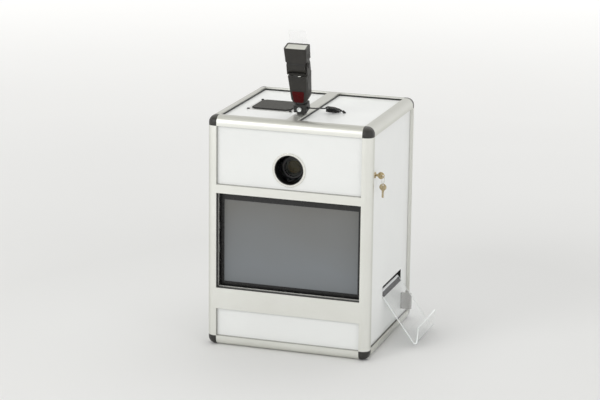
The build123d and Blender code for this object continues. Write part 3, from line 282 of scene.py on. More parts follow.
def sealFinish():
    # dark rubber; the seals round the two front panels are painted paler as painted light
    finish = newFinish("sealRubber", rubberSheen)
    barLow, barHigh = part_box("front_crossbars")
    point = surfacePoint(finish)
    parts = addNode(finish, "SeparateXYZ", {"Vector": point}).outputs
    ahead = maths(finish, "LESS_THAN", parts["Y"], barLow.y + sealSettings["frontDepth"])
    above = maths(finish, "GREATER_THAN", parts["Z"], barHigh.z - 0.002)
    below = maths(finish, "LESS_THAN", parts["Z"], barLow.z + 0.002)
    # painted light: the seals round the front panels get the paler colour
    frontPaintedLight = maths(finish, "MULTIPLY", ahead, maths(finish, "MAXIMUM", above, below))
    bloom = noiseAt(finish, point, 0.012, 5, 0.65)
    colour = mixColours(finish, frontPaintedLight, sealSettings["dark"], sealSettings["front"])
    share = numberRamp(finish, bloom, 0.0, 0.25)
    toShader(finish, "Base Color", mixColours(finish, share, colour, (0.060, 0.060, 0.058)))
    toShader(finish, "Roughness", numberRamp(finish, bloom, 0.55, 0.70))
    addBump(finish, cellsAt(finish, point, 0.0009), 0.00005, 0.4)
    return finish


screenSettings = {
    # painted reflection: the dark screen's grey, lighter and bluer towards the bottom, stands for the room it
    # reflects
    "top": (0.150, 0.150, 0.142),
    "bottom": (0.175, 0.190, 0.203),
    "border": 0.0016,  # black margin round the active area
    "sparkle": 0.0007,
}


def screenFinish():
    coated = {"Specular IOR Level": 0.5, "Coat Weight": 0.35, "Coat Roughness": 0.32}
    finish = newFinish("antiGlareScreen", coated)
    low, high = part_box("monitor_screen")
    point = addNode(finish, "TexCoord", {}).outputs["Object"]
    parts = addNode(finish, "SeparateXYZ", {"Vector": point}).outputs
    drift = noiseAt(finish, point, 0.22, 2, 0.4)
    rise = numberRamp(finish, parts["Z"], 0, 1, high.z, low.z)
    drift = maths(finish, "MULTIPLY", maths(finish, "SUBTRACT", drift, 0.5), 0.5)
    rise = maths(finish, "ADD", rise, drift)
    # painted reflection: the tone runs from the top colour to the lighter, bluer bottom colour
    glow = colourRamp(finish, rise, screenSettings["top"], screenSettings["bottom"], 0.05, 0.75)
    border = screenSettings["border"] + 0.001
    fromSide = maths(finish, "SUBTRACT", high.x - border, maths(finish, "ABSOLUTE", parts["X"]))
    fromTop = maths(finish, "SUBTRACT", high.z - border, parts["Z"])
    fromBottom = maths(finish, "SUBTRACT", parts["Z"], low.z + border)
    nearest = maths(finish, "MINIMUM", fromSide, maths(finish, "MINIMUM", fromTop, fromBottom))
    active = maths(finish, "GREATER_THAN", nearest, 0.0)
    toShader(finish, "Base Color", mixColours(finish, active, (0.012, 0.013, 0.016), glow))
    sparkle = noiseAt(finish, point, screenSettings["sparkle"], 1, 0.5)
    toShader(finish, "Roughness", numberRamp(finish, sparkle, 0.34, 0.46))
    addBump(finish, sparkle, 0.00002, 0.35)
    return finish


def turnedFinish(name, dark, light, metal, roughness, grooves, centre=None, axis="Y"):
    # metal turned on a lathe: fine rings round the axis through centre
    finish = newFinish(name, {"Metallic": metal})
    point = surfacePoint(finish)
    if centre is not None:
        shifted = addNode(finish, "VectorMath", {0: point, 1: centre}, operation="SUBTRACT")
        parts = addNode(finish, "SeparateXYZ", {"Vector": shifted.outputs["Vector"]}).outputs
        first, second = [letter for letter in "XYZ" if letter != axis]
        flat = addNode(finish, "CombineXYZ", {"X": parts[first], "Y": parts[second]}).outputs["Vector"]
        radius = addNode(finish, "VectorMath", {0: flat}, operation="LENGTH").outputs["Value"]
        point = addNode(finish, "CombineXYZ", {"X": radius, "Y": parts[axis]}).outputs["Vector"]
    rings = noiseAt(finish, point, grooves, 3, 0.6)
    tarnish = noiseAt(finish, surfacePoint(finish), 0.006, 4, 0.6)
    toShader(finish, "Base Color", colourRamp(finish, tarnish, dark, light))
    toShader(finish, "Roughness", numberRamp(finish, rings, roughness - 0.1, roughness + 0.12))
    addBump(finish, rings, 0.00003, 0.5)
    return finish


def sheetSteelFinish():
    # zinc-plated sheet with its spangle
    finish = newFinish("zincSteel", {"Metallic": 0.9})
    point = surfacePoint(finish)
    spangle = addNode(finish, "TexVoronoi", {"Vector": point, "Scale": 110.0}).outputs["Color"]
    tone = addNode(finish, "SeparateXYZ", {"Vector": spangle}).outputs["X"]
    toShader(finish, "Base Color", colourRamp(finish, tone, (0.44, 0.45, 0.46), (0.60, 0.61, 0.62), 0.1, 0.9))
    toShader(finish, "Roughness", numberRamp(finish, tone, 0.30, 0.48, 0, 1))
    addBump(finish, noiseAt(finish, point, 0.0008, 2, 0.5), 0.00002, 0.4)
    return finish


def brushedFinish():
    finish = newFinish("brushedPlate", {"Metallic": 0.75})
    strokes = noiseAt(finish, surfacePoint(finish, (0.02, 1, 1)), 0.0004, 5, 0.65)
    toShader(finish, "Base Color", colourRamp(finish, strokes, (0.62, 0.62, 0.60), (0.76, 0.76, 0.74)))
    toShader(finish, "Roughness", numberRamp(finish, strokes, 0.28, 0.45))
    addBump(finish, strokes, 0.00003, 0.5)
    return finish


def foamFinish():
    finish = newFinish("filterFoam", {"Specular IOR Level": 0.2})
    point = surfacePoint(finish)
    cells = cellsAt(finish, point, 0.0016)
    fray = noiseAt(finish, point, 0.012, 5, 0.7)
    dark = colourRamp(finish, cells, grey(0.010), (0.036, 0.036, 0.035), 0.1, 0.6)
    toShader(finish, "Base Color", settledDust(finish, dark, 0.10))
    toShader(finish, "Roughness", numberRamp(finish, fray, 0.75, 0.95))
    addBump(finish, cells, 0.0004, 0.8)
    return finish


def clearFinish(name, tint, roughness, settings, ripple=0.00008):
    finish = newFinish(name, settings)
    point = surfacePoint(finish)
    smear = noiseAt(finish, surfacePoint(finish, (1, 0.3, 1)), 0.02, 5, 0.65)
    toShader(finish, "Base Color", colourRamp(finish, smear, tuple(0.96 * part for part in tint), tint))
    toShader(finish, "Roughness", numberRamp(finish, smear, roughness, roughness + 0.05, 0.45, 0.8))
    addBump(finish, noiseAt(finish, point, 0.03, 1, 0.4), ripple, 0.3)
    return finish


def paperFinish():
    finish = newFinish("photoPaper", {"Specular IOR Level": 0.4, "Coat Weight": 0.3, "Coat Roughness": 0.25})
    layers = noiseAt(finish, surfacePoint(finish, (1, 0.02, 1)), 0.0012, 3, 0.6)
    toShader(finish, "Base Color", colourRamp(finish, layers, (0.80, 0.80, 0.77), (0.91, 0.91, 0.89)))
    toShader(finish, "Roughness", numberRamp(finish, layers, 0.4, 0.6))
    addBump(finish, layers, 0.00004, 0.5)
    return finish


lensCentre = sum(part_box("lens_ring"), Vector()) / 2
lockCentre = Vector(joints["lock_turn"]["pos_m"])

finishes = {
    "post": anodisedFinish("anodisedPost", "Z"),
    "rail": railFinish(),
    "crossbar": anodisedFinish("anodisedCrossbar", "X"),
    "topBar": anodisedFinish("anodisedTopBar", "Y"),
    "laminate": laminateFinish(),
    "seal": sealFinish(),
    "screen": screenFinish(),
    "steel": sheetSteelFinish(),
    "plate": brushedFinish(),
    "foam": foamFinish(),
    "paper": paperFinish(),
}

mouldings = {
    # material, darkest and lightest tone, grain, roughness, bump depth, dust
    "base": ("baseBoard", (0.16, 0.155, 0.15), (0.21, 0.205, 0.195), 0.0012, 0.65),
    "cap": ("capPlastic", (0.020, 0.019, 0.017), (0.033, 0.031, 0.028), 0.0006, 0.42, 0.00006, 0.10),
    "bezel": ("bezelPlastic", grey(0.010), grey(0.017), 0.0005, 0.30, 0.00004),
    "housing": ("housingPlastic", (0.028, 0.028, 0.029), (0.045, 0.045, 0.047), 0.0009, 0.55, 0.00006, 0.12),
    "lensBlack": ("lensBlack", grey(0.008), grey(0.015), 0.0004, 0.34, 0.00003),
    # lighter grey than the lens's black: painted highlight on the polished rims
    "lensRimHighlight": ("lensRimHighlight", (0.10, 0.10, 0.105), (0.14, 0.14, 0.145), 0.0004, 0.16, 0.00001),
    "fan": ("fanPlastic", (0.020, 0.020, 0.021), (0.034, 0.034, 0.035), 0.0008, 0.48, 0.00006, 0.2),
    "liner": ("linerPlastic", grey(0.004), grey(0.009), 0.0006, 0.6),
    "printer": ("printerShell", (0.10, 0.10, 0.105), (0.14, 0.14, 0.145), 0.0010, 0.5, 0.00006, 0.15),
    "rocker": ("rockerPlastic", grey(0.012), grey(0.02), 0.0005, 0.2, 0.00002),
    "shoe": ("shoePlastic", grey(0.014), (0.026, 0.026, 0.025), 0.0006, 0.45, 0.00006, 0.1),
    "flash": ("flashPlastic", (0.013, 0.0115, 0.0095), (0.024, 0.0215, 0.0180), 0.0006, 0.50, 0.00006, 0.05),
    "flashTrim": ("flashTrim", grey(0.012), grey(0.02), 0.0005, 0.36),
    "gland": ("glandPlastic", grey(0.010), grey(0.020), 0.0006, 0.48, 0.00006, 0.08),
    # pale band and end cap at the tray's upper end: painted highlight
    "trayEndHighlight": ("paintedEndHighlight", (0.72, 0.74, 0.74), (0.84, 0.86, 0.86), 0.0005, 0.5),
    "mark": ("paleMark", (0.66, 0.66, 0.62), (0.78, 0.78, 0.74), 0.0005, 0.4),
}

rubbers = {
    # material, darkest and lightest tone, roughness
    "gasket": ("gasketRubber", (0.016, 0.016, 0.015), (0.030, 0.030, 0.028), 0.62),
    "lensRubber": ("zoomRubber", grey(0.010), grey(0.020), 0.6),
    "roller": ("rollerRubber", (0.040, 0.040, 0.042), (0.065, 0.065, 0.068), 0.7),
    "cord": ("cordJacket", grey(0.004), grey(0.009), 0.60),
}

turnings = {
    # material, darkest and lightest tone, metal, roughness, spacing of the grooves, middle, axis
    "portRing": ("turnedRing", (0.68, 0.68, 0.63), (0.80, 0.80, 0.76), 0.75, 0.30, 0.0004, lensCentre, "Y"),
    "blackScrew": ("blackScrew", grey(0.018), grey(0.045), 0.6, 0.36, 0.0006),
    "lock": ("lockNickel", (0.50, 0.40, 0.24), (0.70, 0.60, 0.42), 1.0, 0.24, 0.0005, lockCentre, "X"),
    "key": ("keyBrass", (0.42, 0.32, 0.17), (0.66, 0.54, 0.33), 1.0, 0.30, 0.0007),
    "spareKey": ("spareKeyBrass", (0.34, 0.27, 0.16), (0.62, 0.53, 0.36), 1.0, 0.34, 0.0007),
    "ringWire": ("keyRingSteel", (0.45, 0.44, 0.40), (0.66, 0.65, 0.60), 1.0, 0.20, 0.0009),
    "knob": ("knobAluminium", (0.72, 0.75, 0.76), (0.86, 0.88, 0.89), 0.7, 0.30, 0.0005),
}

# the red spots' faint emission is painted light
redSpotPaintedGlow = {"Specular IOR Level": 0.25, "Emission Color": (0.9, 0.0, 0.01, 1), "Emission Strength": 0.10}
# the tray edges' emission is painted light
edgePaintedGlow = {
    "Transmission Weight": 0.35,
    "IOR": 1.2,
    "Emission Color": (0.9, 0.92, 0.92, 1),
    "Emission Strength": 0.24,
}
smokedSheet = {"Transmission Weight": 0.6, "IOR": 1.3, "Coat Weight": 0.4}
amberCoat = {"Specular IOR Level": 0.15, "Coat Weight": 0.2}
ridgedWindow = {"Transmission Weight": 0.08, "Coat Weight": 0.1}
clears = {
    # material, tint, roughness, shader settings, ripple
    "redWindow": ("redWindow", (0.062, 0.001, 0.002), 0.24, {"Specular IOR Level": 0.12}),
    "redSpot": ("redSpot", (0.55, 0.004, 0.008), 0.20, redSpotPaintedGlow),
    "flashWindow": ("flashWindow", (0.66, 0.66, 0.61), 0.34, ridgedWindow),
    "card": ("bounceCard", grey(0.99), 0.12, {"Transmission Weight": 0.93, "IOR": 1.12}),
    "acrylic": ("clearAcrylic", (0.990, 0.998, 0.995), 0.02, {"Transmission Weight": 1.0, "IOR": 1.22}),
    "acrylicEdge": ("polishedEdge", (0.97, 1.0, 0.99), 0.12, edgePaintedGlow),
    "smoked": ("smokedAcrylic", (0.56, 0.55, 0.53), 0.14, smokedSheet),
    "glass": ("coatedGlass", (0.86, 0.88, 0.80), 0.01, {"Transmission Weight": 1.0, "IOR": 1.20}, 0.000002),
    "amberCoating": ("amberCoating", (0.042, 0.028, 0.006), 0.16, amberCoat, 0.000002),
    "lcd": ("displayGlass", (0.20, 0.22, 0.19), 0.12, {"Coat Weight": 0.8, "Coat Roughness": 0.05}),
}

for makeFinish, table in (
    (mouldedFinish, mouldings), (rubberFinish, rubbers), (turnedFinish, turnings), (clearFinish, clears),
):
    for key, values in table.items():
        finishes[key] = makeFinish(*values)
print("finishes made:", len(finishes))

# finish for each of the CAD nodes
painted = {
    "post": ["corner_posts"],
    "rail": ["frame_rails"],
    "crossbar": ["front_crossbars"],
    "topBar": ["top_centre_bar"],
    "laminate": [
        "upper_front_panel", "lower_front_panel", "left_side_panel", "rear_panel", "door_panel",
        "top_left_panel", "top_right_panel",
    ],
    "base": ["base_panel"],
    "cap": ["corner_caps"],
    "seal": ["panel_seals"],
    "gland": ["cord_gland"],
    "bezel": ["monitor_bezel"],
    "screen": ["monitor_screen"],
    "housing": ["monitor_housing", "camera_body", "mini_pc", "power_supply", "power_inlet"],
    "steel": ["monitor_crossbars", "camera_shelf", "door_stops", "door_pivot_pins", "printer_chassis"],
    "portRing": ["lens_ring"],
    "lensBlack": ["lens_shroud", "lens_barrel"],
    "lensRubber": ["lens_zoom_ring"],
    "glass": ["lens_front_glass"],
    "plate": ["vent_plate"],
    "foam": ["vent_filter"],
    "blackScrew": ["screws"],
    "fan": ["fan_frame", "fan_rotor"],
    "liner": ["slot_liner"],
    "acrylic": ["print_tray"],
    "smoked": ["tray_rear_block"],
    "lock": ["lock_barrel", "lock_plug"],
    "key": ["door_key"],
    "spareKey": ["spare_key"],
    "ringWire": ["key_ring"],
    "printer": ["printer_cover"],
    "paper": ["media_roll"],
    "roller": ["platen_roller"],
    "rocker": ["rocker_switch"],
    "shoe": ["shoe_foot", "shoe_block"],
    "knob": ["clamp_knob"],
    "flash": ["flash_body", "flash_turret", "flash_head"],
    "redWindow": ["flash_red_window"],
    "flashWindow": ["flash_lens"],
    "card": ["bounce_card"],
    "cord": ["flash_cord", "flash_cord_coil"],
}


def paintNodes():
    for finishName, nodeNames in painted.items():
        for nodeName in nodeNames:
            mesh = nodes[nodeName].data
            mesh.materials.clear()
            mesh.materials.append(finishes[finishName])


paintNodes()
print("CAD nodes painted:", sum(len(names) for names in painted.values()))

# the shape helpers add to one bmesh, in metres, at a place given by a matrix


def ringOfPoints(shape, place, radius, height, steps, factor):
    points = []
    for step in range(steps):
        angle = 2 * math.pi * step / steps
        reach = radius * (factor(angle) if factor else 1)
        spot = Vector((reach * math.cos(angle), reach * math.sin(angle), height))
        points.append(shape.verts.new(place @ spot))
    return points


def addLathe(shape, place, outline, steps=48, closed=False, finishIndex=0):
    # outline holds (radius, height) or (radius, height, factor of the angle)
    rings = []
    for radius, height, *factor in outline:
        if radius == 0:
            rings.append([shape.verts.new(place @ Vector((0, 0, height)))])
        else:
            rings.append(ringOfPoints(shape, place, radius, height, steps, factor[0] if factor else None))
    following = rings[1:] + (rings[:1] if closed else [])
    for lower, upper in zip(rings, following):
        for step in range(steps):
            after = (step + 1) % steps
            corners = [lower[step % len(lower)], lower[after % len(lower)]]
            corners += [upper[after % len(upper)], upper[step % len(upper)]]
            corners = list(dict.fromkeys(corners))
            if len(corners) > 2:
                shape.faces.new(corners).material_index = finishIndex


def hexagon(angle):
    side = math.pi / 3
    return math.cos(side / 2) / math.cos(angle % side - side / 2)


def ribbed(depth, count):
    # ribs round a rim, for a lathe outline's third value
    def factor(angle):
        return 1 - depth * (0.5 + 0.5 * math.cos(count * angle))
    return factor


def bevelEdges(shape, edges, width, segments=2):
    bmesh.ops.bevel(shape, geom=edges, offset=width, segments=segments, profile=0.5, affect="EDGES")


def addBand(shape, first, second, finishIndex=0, closed=True):
    # faces between two lines of points
    faces = []
    for index in range(len(first) if closed else len(first) - 1):
        after = (index + 1) % len(first)
        faces.append(shape.faces.new((first[index], first[after], second[after], second[index])))
        faces[-1].material_index = finishIndex
    return faces


def addBlock(shape, place, size, bevel=0.0, finishIndex=0):
    made = bmesh.ops.create_cube(shape, size=1, matrix=place @ Matrix.Diagonal((*size, 1)))
    faces = {face for vert in made["verts"] for face in vert.link_faces}
    for face in faces:
        face.material_index = finishIndex
    if bevel:
        bevelEdges(shape, list({edge for face in faces for edge in face.edges}), bevel)


def addPrism(shape, place, outline, height, bevel=0.0, finishIndex=0):
    lower = [shape.verts.new(place @ Vector((x, y, 0))) for x, y in outline]
    upper = [shape.verts.new(place @ Vector((x, y, height))) for x, y in outline]
    ends = [shape.faces.new(lower[::-1]), shape.faces.new(upper)]
    for face in ends:
        face.material_index = finishIndex
    addBand(shape, lower, upper, finishIndex)
    if bevel:
        bevelEdges(shape, list(set(ends[0].edges) | set(ends[1].edges)), bevel)


def addHoledPlate(shape, place, outer, hole, thickness, finishIndex=0):
    # outer and hole have the same number of points, each starting at the same angle
    loops = []
    for z in (0, thickness):
        loops.append([shape.verts.new(place @ Vector((x, y, z))) for x, y in outer])
        loops.append([shape.verts.new(place @ Vector((x, y, z))) for x, y in hole])
    outerLow, holeLow, outerHigh, holeHigh = loops
    bands = ((outerLow, holeLow), (outerHigh, holeHigh), (outerLow, outerHigh), (holeLow, holeHigh))
    for first, second in bands:
        addBand(shape, first, second, finishIndex)


def roundedRectangle(width, height, radius, steps=6):
    points = []
    for cornerX, cornerY, start in ((1, 1, 0), (-1, 1, 90), (-1, -1, 180), (1, -1, 270)):
        for step in range(steps + 1):
            angle = math.radians(start + 90 * step / steps)
            x = cornerX * (width / 2 - radius) + radius * math.cos(angle)
            y = cornerY * (height / 2 - radius) + radius * math.sin(angle)
            points.append((x, y))
    return points


def circlePoints(radius, steps, centre=(0, 0)):
    angles = [2 * math.pi * step / steps for step in range(steps)]
    return [(centre[0] + radius * math.cos(angle), centre[1] + radius * math.sin(angle)) for angle in angles]


def finishShape(shape, name, finishNames, body, replaced=(), smoothAngle=35):
    bmesh.ops.recalc_face_normals(shape, faces=shape.faces)
    mesh = bpy.data.meshes.new(name)
    shape.to_mesh(mesh)
    shape.free()
    for finishName in finishNames:
        mesh.materials.append(finishes[finishName])
    mesh.shade_smooth()
    mesh.set_sharp_from_angle(angle=math.radians(smoothAngle))
    piece = bpy.data.objects.new(name, mesh)
    bpy.context.scene.collection.objects.link(piece)
    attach(piece, body)
    if replaced:
        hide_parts(*replaced)
    return piece


def placeAlong(origin, axis, across=None):
    # a matrix whose Z runs along axis, with X as near to across as it can be
    up = Vector(axis).normalized()
    side = Vector(across or ((1, 0, 0) if abs(up.x) < 0.9 else (0, 1, 0)))
    side = (side - up * side.dot(up)).normalized()
    facing = Matrix((side, up.cross(side), up)).transposed().to_4x4()
    return Matrix.Translation(origin) @ facing


# the flash cord: short run from the shoe, curly part, tail into its gland
cordSettings = {
    "diameter": 0.0042,
    "length": 0.603,
    "fromShoe": [
        (0.0225, -0.1380, 0.8170), (0.0340, -0.1380, 0.8170), (0.0430, -0.1310, 0.8155),
        (0.0465, -0.1180, 0.8130), (0.0475, -0.1010, 0.8102), (0.0468, -0.0840, 0.8068),
        (0.0500, -0.0687, 0.8033),
    ],
    "coilStart": (0.0620, -0.0620, 0.8010),
    "coilEnd": (0.1105, -0.0348, 0.7915),
    "coilRadius": (0.0091, 0.0040),  # of the cord's own centre line, at the start and at the end
    "taperFrom": 0.55,  # share of the coil that keeps its full width
    "turns": 11,
    "pointsPerTurn": 12,
    "leadPoints": 3,
    "intoGland": [(0.1132, -0.0333, 0.7910)],
}


def coilPoints():
    start = Vector(cordSettings["coilStart"])
    along = Vector(cordSettings["coilEnd"]) - start
    coilPlace = placeAlong(start, along, (0, 0, -1))
    perTurn = cordSettings["pointsPerTurn"]
    total = cordSettings["turns"] * perTurn
    lead = cordSettings["leadPoints"]
    wide, narrow = cordSettings["coilRadius"]
    points = []
    for step in range(lead, total - lead + 1):
        angle = 2 * math.pi * step / perTurn
        # the first and last turn open out from the cord's own line
        nearestEnd = min(step, total - step) - lead
        taper = max(0, step / total - cordSettings["taperFrom"]) / (1 - cordSettings["taperFrom"])
        reach = (wide + (narrow - wide) * taper) * min(1, 0.6 + 0.4 * nearestEnd / perTurn)
        spot = Vector((reach * math.cos(angle), reach * math.sin(angle), along.length * step / total))
        points.append(tuple(coilPlace @ spot))
    return points


def makeCord():
    curve = bpy.data.curves.new("curlyCord", "CURVE")
    curve.dimensions = "3D"
    curve.bevel_depth = cordSettings["diameter"] / 2
    curve.bevel_resolution = 5
    curve.resolution_u = 5
    curve.use_fill_caps = True
    points = cordSettings["fromShoe"] + coilPoints() + cordSettings["intoGland"]
    spline = curve.splines.new("NURBS")
    spline.points.add(len(points) - 1)
    for point, place in zip(spline.points, points):
        point.co = (*place, 1)
    spline.order_u = 3
    spline.use_endpoint_u = True
    curve.materials.append(finishes["cord"])
    cord = bpy.data.objects.new("curlyCord", curve)
    bpy.context.scene.collection.objects.link(cord)
    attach(cord, "root")
    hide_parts("flash_cord", "flash_cord_coil")
    return cord


def makeCordBoot():
    # moulded strain relief on the shoe's connector: rings that taper along the cord
    shape = bmesh.new()
    start = Vector(cordSettings["fromShoe"][0])
    outline = [(0, -0.001), (0.0050, -0.001), (0.0050, 0.0022)]
    for ring in range(4):
        rise = 0.0026 + ring * 0.0021
        size = 0.0042 - ring * 0.00045
        outline += [(size - 0.0006, rise), (size, rise + 0.0003)]
        outline += [(size, rise + 0.0012), (size - 0.0006, rise + 0.0015)]
    outline += [(0.0023, 0.0112), (0, 0.0112)]
    addLathe(shape, placeAlong(start, (1, 0, 0)), outline, 28)
    return finishShape(shape, "cordBoot", ["gland"], "root")


def makeGland():
    # tapered nose that lies on the top panel and takes the cord's tail
    low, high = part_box("cord_gland")
    tail = Vector(cordSettings["intoGland"][-1])
    along = Vector((high.x - 0.001, high.y - 0.003, low.z + 0.0016)) - tail
    length = along.length
    shape = bmesh.new()
    outline = [(0, 0), (0.0034, 0), (0.0040, 0.0008), (0.0042, 0.0024)]
    outline += [(0.0036, 0.4 * length), (0.0024, 0.75 * length), (0.0012, length), (0, length)]
    addLathe(shape, placeAlong(tail, along), outline, 32)
    foot = Matrix.Translation(((low.x + high.x) / 2, (low.y + high.y) / 2, low.z))
    outline = [(0, 0), (0.0046, 0), (0.0046, 0.0012), (0.0036, 0.0022), (0.0020, 0.0050), (0, 0.0050)]
    addLathe(shape, foot, outline, 32)
    return finishShape(shape, "cordGlandNose", ["gland"], "root", ["cord_gland"])


curlyCord = makeCord()
makeCordBoot()
makeGland()
print("cord made")

lensSettings = {
    "barrel": 0.0352,  # outer radius
    "retainer": 0.0300,  # radius of the ring that holds the front element
    "rim": 0.0007,
    "grooves": 5,
    "baffles": 4,
    "innerGlass": 0.0215,
    "dome": 0.0016,
}


def insideLens(node):
    # a place on the lens's axis at a node's front, with Z into the cabinet
    return placeAlong(Vector((lensCentre.x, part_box(node)[0].y, lensCentre.z)), (0, 1, 0))


def makeLensRings():
    barrel, retainer, rim = (lensSettings[key] for key in ("barrel", "retainer", "rim"))
    inwards = insideLens("lens_barrel")
    shape = bmesh.new()
    # filter thread and name ring, in front of the glass
    outline = [(retainer, 0.0058)]
    for groove in range(lensSettings["grooves"]):
        rise = 0.0046 - groove * 0.0009
        outline += [(0.0309 + groove * 0.0004, rise), (0.0303 + groove * 0.0004, rise - 0.0004)]
    outline += [(0.0342, 0.0002), (barrel, 0.0), (barrel, 0.0058)]
    addLathe(shape, inwards, outline, 96, closed=True)
    # chamfers of the barrel's rim and of the front element's retaining ring, lighter grey than the barrel as
    # a painted highlight
    rims = bmesh.new()
    for radius, height in ((barrel, -0.0003), (retainer, 0.0052)):
        outline = [(radius, height), (radius, height + rim), (radius - rim, height + rim)]
        addLathe(rims, inwards, outline, 96, closed=True)
    finishShape(rims, "lensRims", ["lensRimHighlight"], "root")
    # baffles step down to the inner elements
    outline = []
    for step in range(lensSettings["baffles"]):
        reach = 0.0258 - step * 0.0011
        outline += [(reach, 0.0094 + step * 0.0018), (reach - 0.0011, 0.0094 + step * 0.0018)]
    outline += [(lensSettings["innerGlass"] - 0.001, 0.0165), (0.0262, 0.0165), (0.0262, 0.0094)]
    addLathe(shape, inwards, outline, 96, closed=True)
    finishShape(shape, "lensInnerRings", ["lensBlack"], "root", smoothAngle=25)


def makeFrontElement():
    # bowed outwards
    low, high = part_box("lens_front_glass")
    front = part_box("lens_barrel")[0].y
    radius = (high.x - low.x) / 2
    dome = lensSettings["dome"]
    outline = [(radius * step / 12, low.y - front - dome * (1 - (step / 12) ** 2)) for step in range(13)]
    outline += [(radius, high.y - front), (0, high.y - front)]
    shape = bmesh.new()
    addLathe(shape, insideLens("lens_barrel"), outline, 72)
    finishShape(shape, "lensFrontElement", ["glass"], "root", ["lens_front_glass"], 50)


def makeInnerElement():
    # second element with its amber coating
    reach = lensSettings["innerGlass"]
    outline = [(reach * step / 10, 0.0118 + 0.0032 * (step / 10) ** 2) for step in range(11)]
    outline += [(reach, 0.0166), (0, 0.0166)]
    shape = bmesh.new()
    addLathe(shape, insideLens("lens_barrel"), outline, 64)
    finishShape(shape, "lensInnerElement", ["amberCoating"], "root", smoothAngle=60)


def makePortGasket():
    # black gasket inside the port's ring
    shape = bmesh.new()
    outline = [(0.0499, 0.0011), (0.0499, 0.0064), (0.0492, 0.0064)]
    outline += [(0.0489, 0.0058), (0.0489, 0.0017), (0.0492, 0.0011)]
    addLathe(shape, insideLens("lens_ring"), outline, 128, closed=True)
    finishShape(shape, "portGasket", ["gasket"], "root")


makeLensRings()
makeFrontElement()
makeInnerElement()
makePortGasket()
print("lens and port made")

doorShadeStripSettings = {"wide": 0.0042, "thick": 0.0006, "gap": 0.0004, "ledge": 0.001, "short": 0.004}


def makeDoorShadeStrip():
    # dark rubber strip on the side rail's ledge, just outside the door's lower edge: painted shade for the
    # gap under the door
    low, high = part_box("door_panel")
    wide = doorShadeStripSettings["wide"]
    thick = doorShadeStripSettings["thick"]
    long = high.y - low.y - doorShadeStripSettings["short"]
    across = high.x + doorShadeStripSettings["gap"] + wide / 2
    up = low.z - doorShadeStripSettings["ledge"] + thick / 2
    shape = bmesh.new()
    addBlock(shape, Matrix.Translation((across, (low.y + high.y) / 2, up)), (wide, long, thick), 0.0002)
    return finishShape(shape, "doorSillShadeStrip", ["gasket"], "root")


makeDoorShadeStrip()
print("door seal made")

ventSettings = {
    "grid": 76,
    "cut": 0.014,  # size of the pad's cut corners
    "round": 0.0022,
    "cell": 0.0034,  # size of the foam's unevenness
    "ruffle": 0.0009,
}


def makeFoamPad():
    low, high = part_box("vent_filter")
    middle = (low + high) / 2
    halfX, halfY = (high.x - low.x) / 2, (high.y - low.y) / 2
    grid = ventSettings["grid"]
    shape = bmesh.new()
    rows = []
    for row in range(grid + 1):
        y = -halfY + 2 * halfY * row / grid
        reach = halfX - max(0, abs(y) - (halfY - ventSettings["cut"]))
        line = []
        for column in range(grid + 1):
            x = -reach + 2 * reach * column / grid
            nearest = min(reach - abs(x), halfY - abs(y))
            edge = max(0, 1 - nearest / ventSettings["round"])
            ruffle = ventSettings["ruffle"] * abs(noise.noise(Vector((x, y, 0)) / ventSettings["cell"]))
            drop = ventSettings["round"] * 0.6 * edge * edge + ruffle
            line.append(shape.verts.new((middle.x + x, middle.y + y, high.z - drop)))
        rows.append(line)
    for first, second in zip(rows, rows[1:]):
        addBand(shape, first, second, closed=False)
    rim = [line[-1] for line in rows[:-1]] + rows[-1][:0:-1]
    rim += [line[0] for line in rows[:0:-1]] + rows[0][:-1]
    base = [shape.verts.new((vert.co.x, vert.co.y, low.z)) for vert in rim]
    addBand(shape, rim, base)
    shape.faces.new(base)
    finishShape(shape, "ventFoamPad", ["foam"], "root", ["vent_filter"], 60)


screwSettings = {
    "socket": 0.0025,
    "socketDepth": 0.0018,
    # head radius and height, stem radius and length
    "plate": (0.005, 0.0033, 0.002, 0.016),
    "camera": (0.010, 0.008, 0.0032, 0.012),
    "cameraBack": 0.030,  # from the camera body's front
}


def addSocketScrew(shape, place, headRadius, headHeight, stemRadius, stemLength):
    socket, depth = screwSettings["socket"], screwSettings["socketDepth"]
    floor = headHeight - depth
    outline = [(0, floor), (socket * 0.98, floor, hexagon), (socket, headHeight - 0.0002, hexagon)]
    outline += [(socket * 1.1, headHeight, hexagon), (headRadius * 0.70, headHeight - 0.0001)]
    for step in range(1, 7):
        angle = math.pi / 2 * step / 6
        reach = headRadius * (0.70 + 0.30 * math.sin(angle))
        outline.append((reach, headHeight * (0.25 + 0.72 * math.cos(angle))))
    outline += [(headRadius * 0.99, 0), (stemRadius, 0), (stemRadius, -stemLength), (0, -stemLength)]
    addLathe(shape, place, outline, 36)


def makeScrews():
    # four in the vent's plate and the one that holds the camera
    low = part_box("screws")[0]
    plateLow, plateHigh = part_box("vent_plate")
    middle = (plateLow + plateHigh) / 2
    pitch = middle.x - low.x - screwSettings["plate"][0]
    shape = bmesh.new()
    for sideX in (-1, 1):
        for sideY in (-1, 1):
            spot = Vector((middle.x + sideX * pitch, middle.y + sideY * pitch, plateHigh.z))
            twist = Matrix.Rotation(0.7 * sideX + 0.35 * sideY, 4, "Z")
            addSocketScrew(shape, Matrix.Translation(spot) @ twist, *screwSettings["plate"])
    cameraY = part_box("camera_body")[0].y + screwSettings["cameraBack"]
    place = placeAlong(Vector((0, cameraY, low.z + screwSettings["camera"][1])), (0, 0, -1))
    addSocketScrew(shape, place, *screwSettings["camera"])
    finishShape(shape, "socketScrews", ["blackScrew"], "root", ["screws"])


makeFoamPad()
makeScrews()
print("vent made")

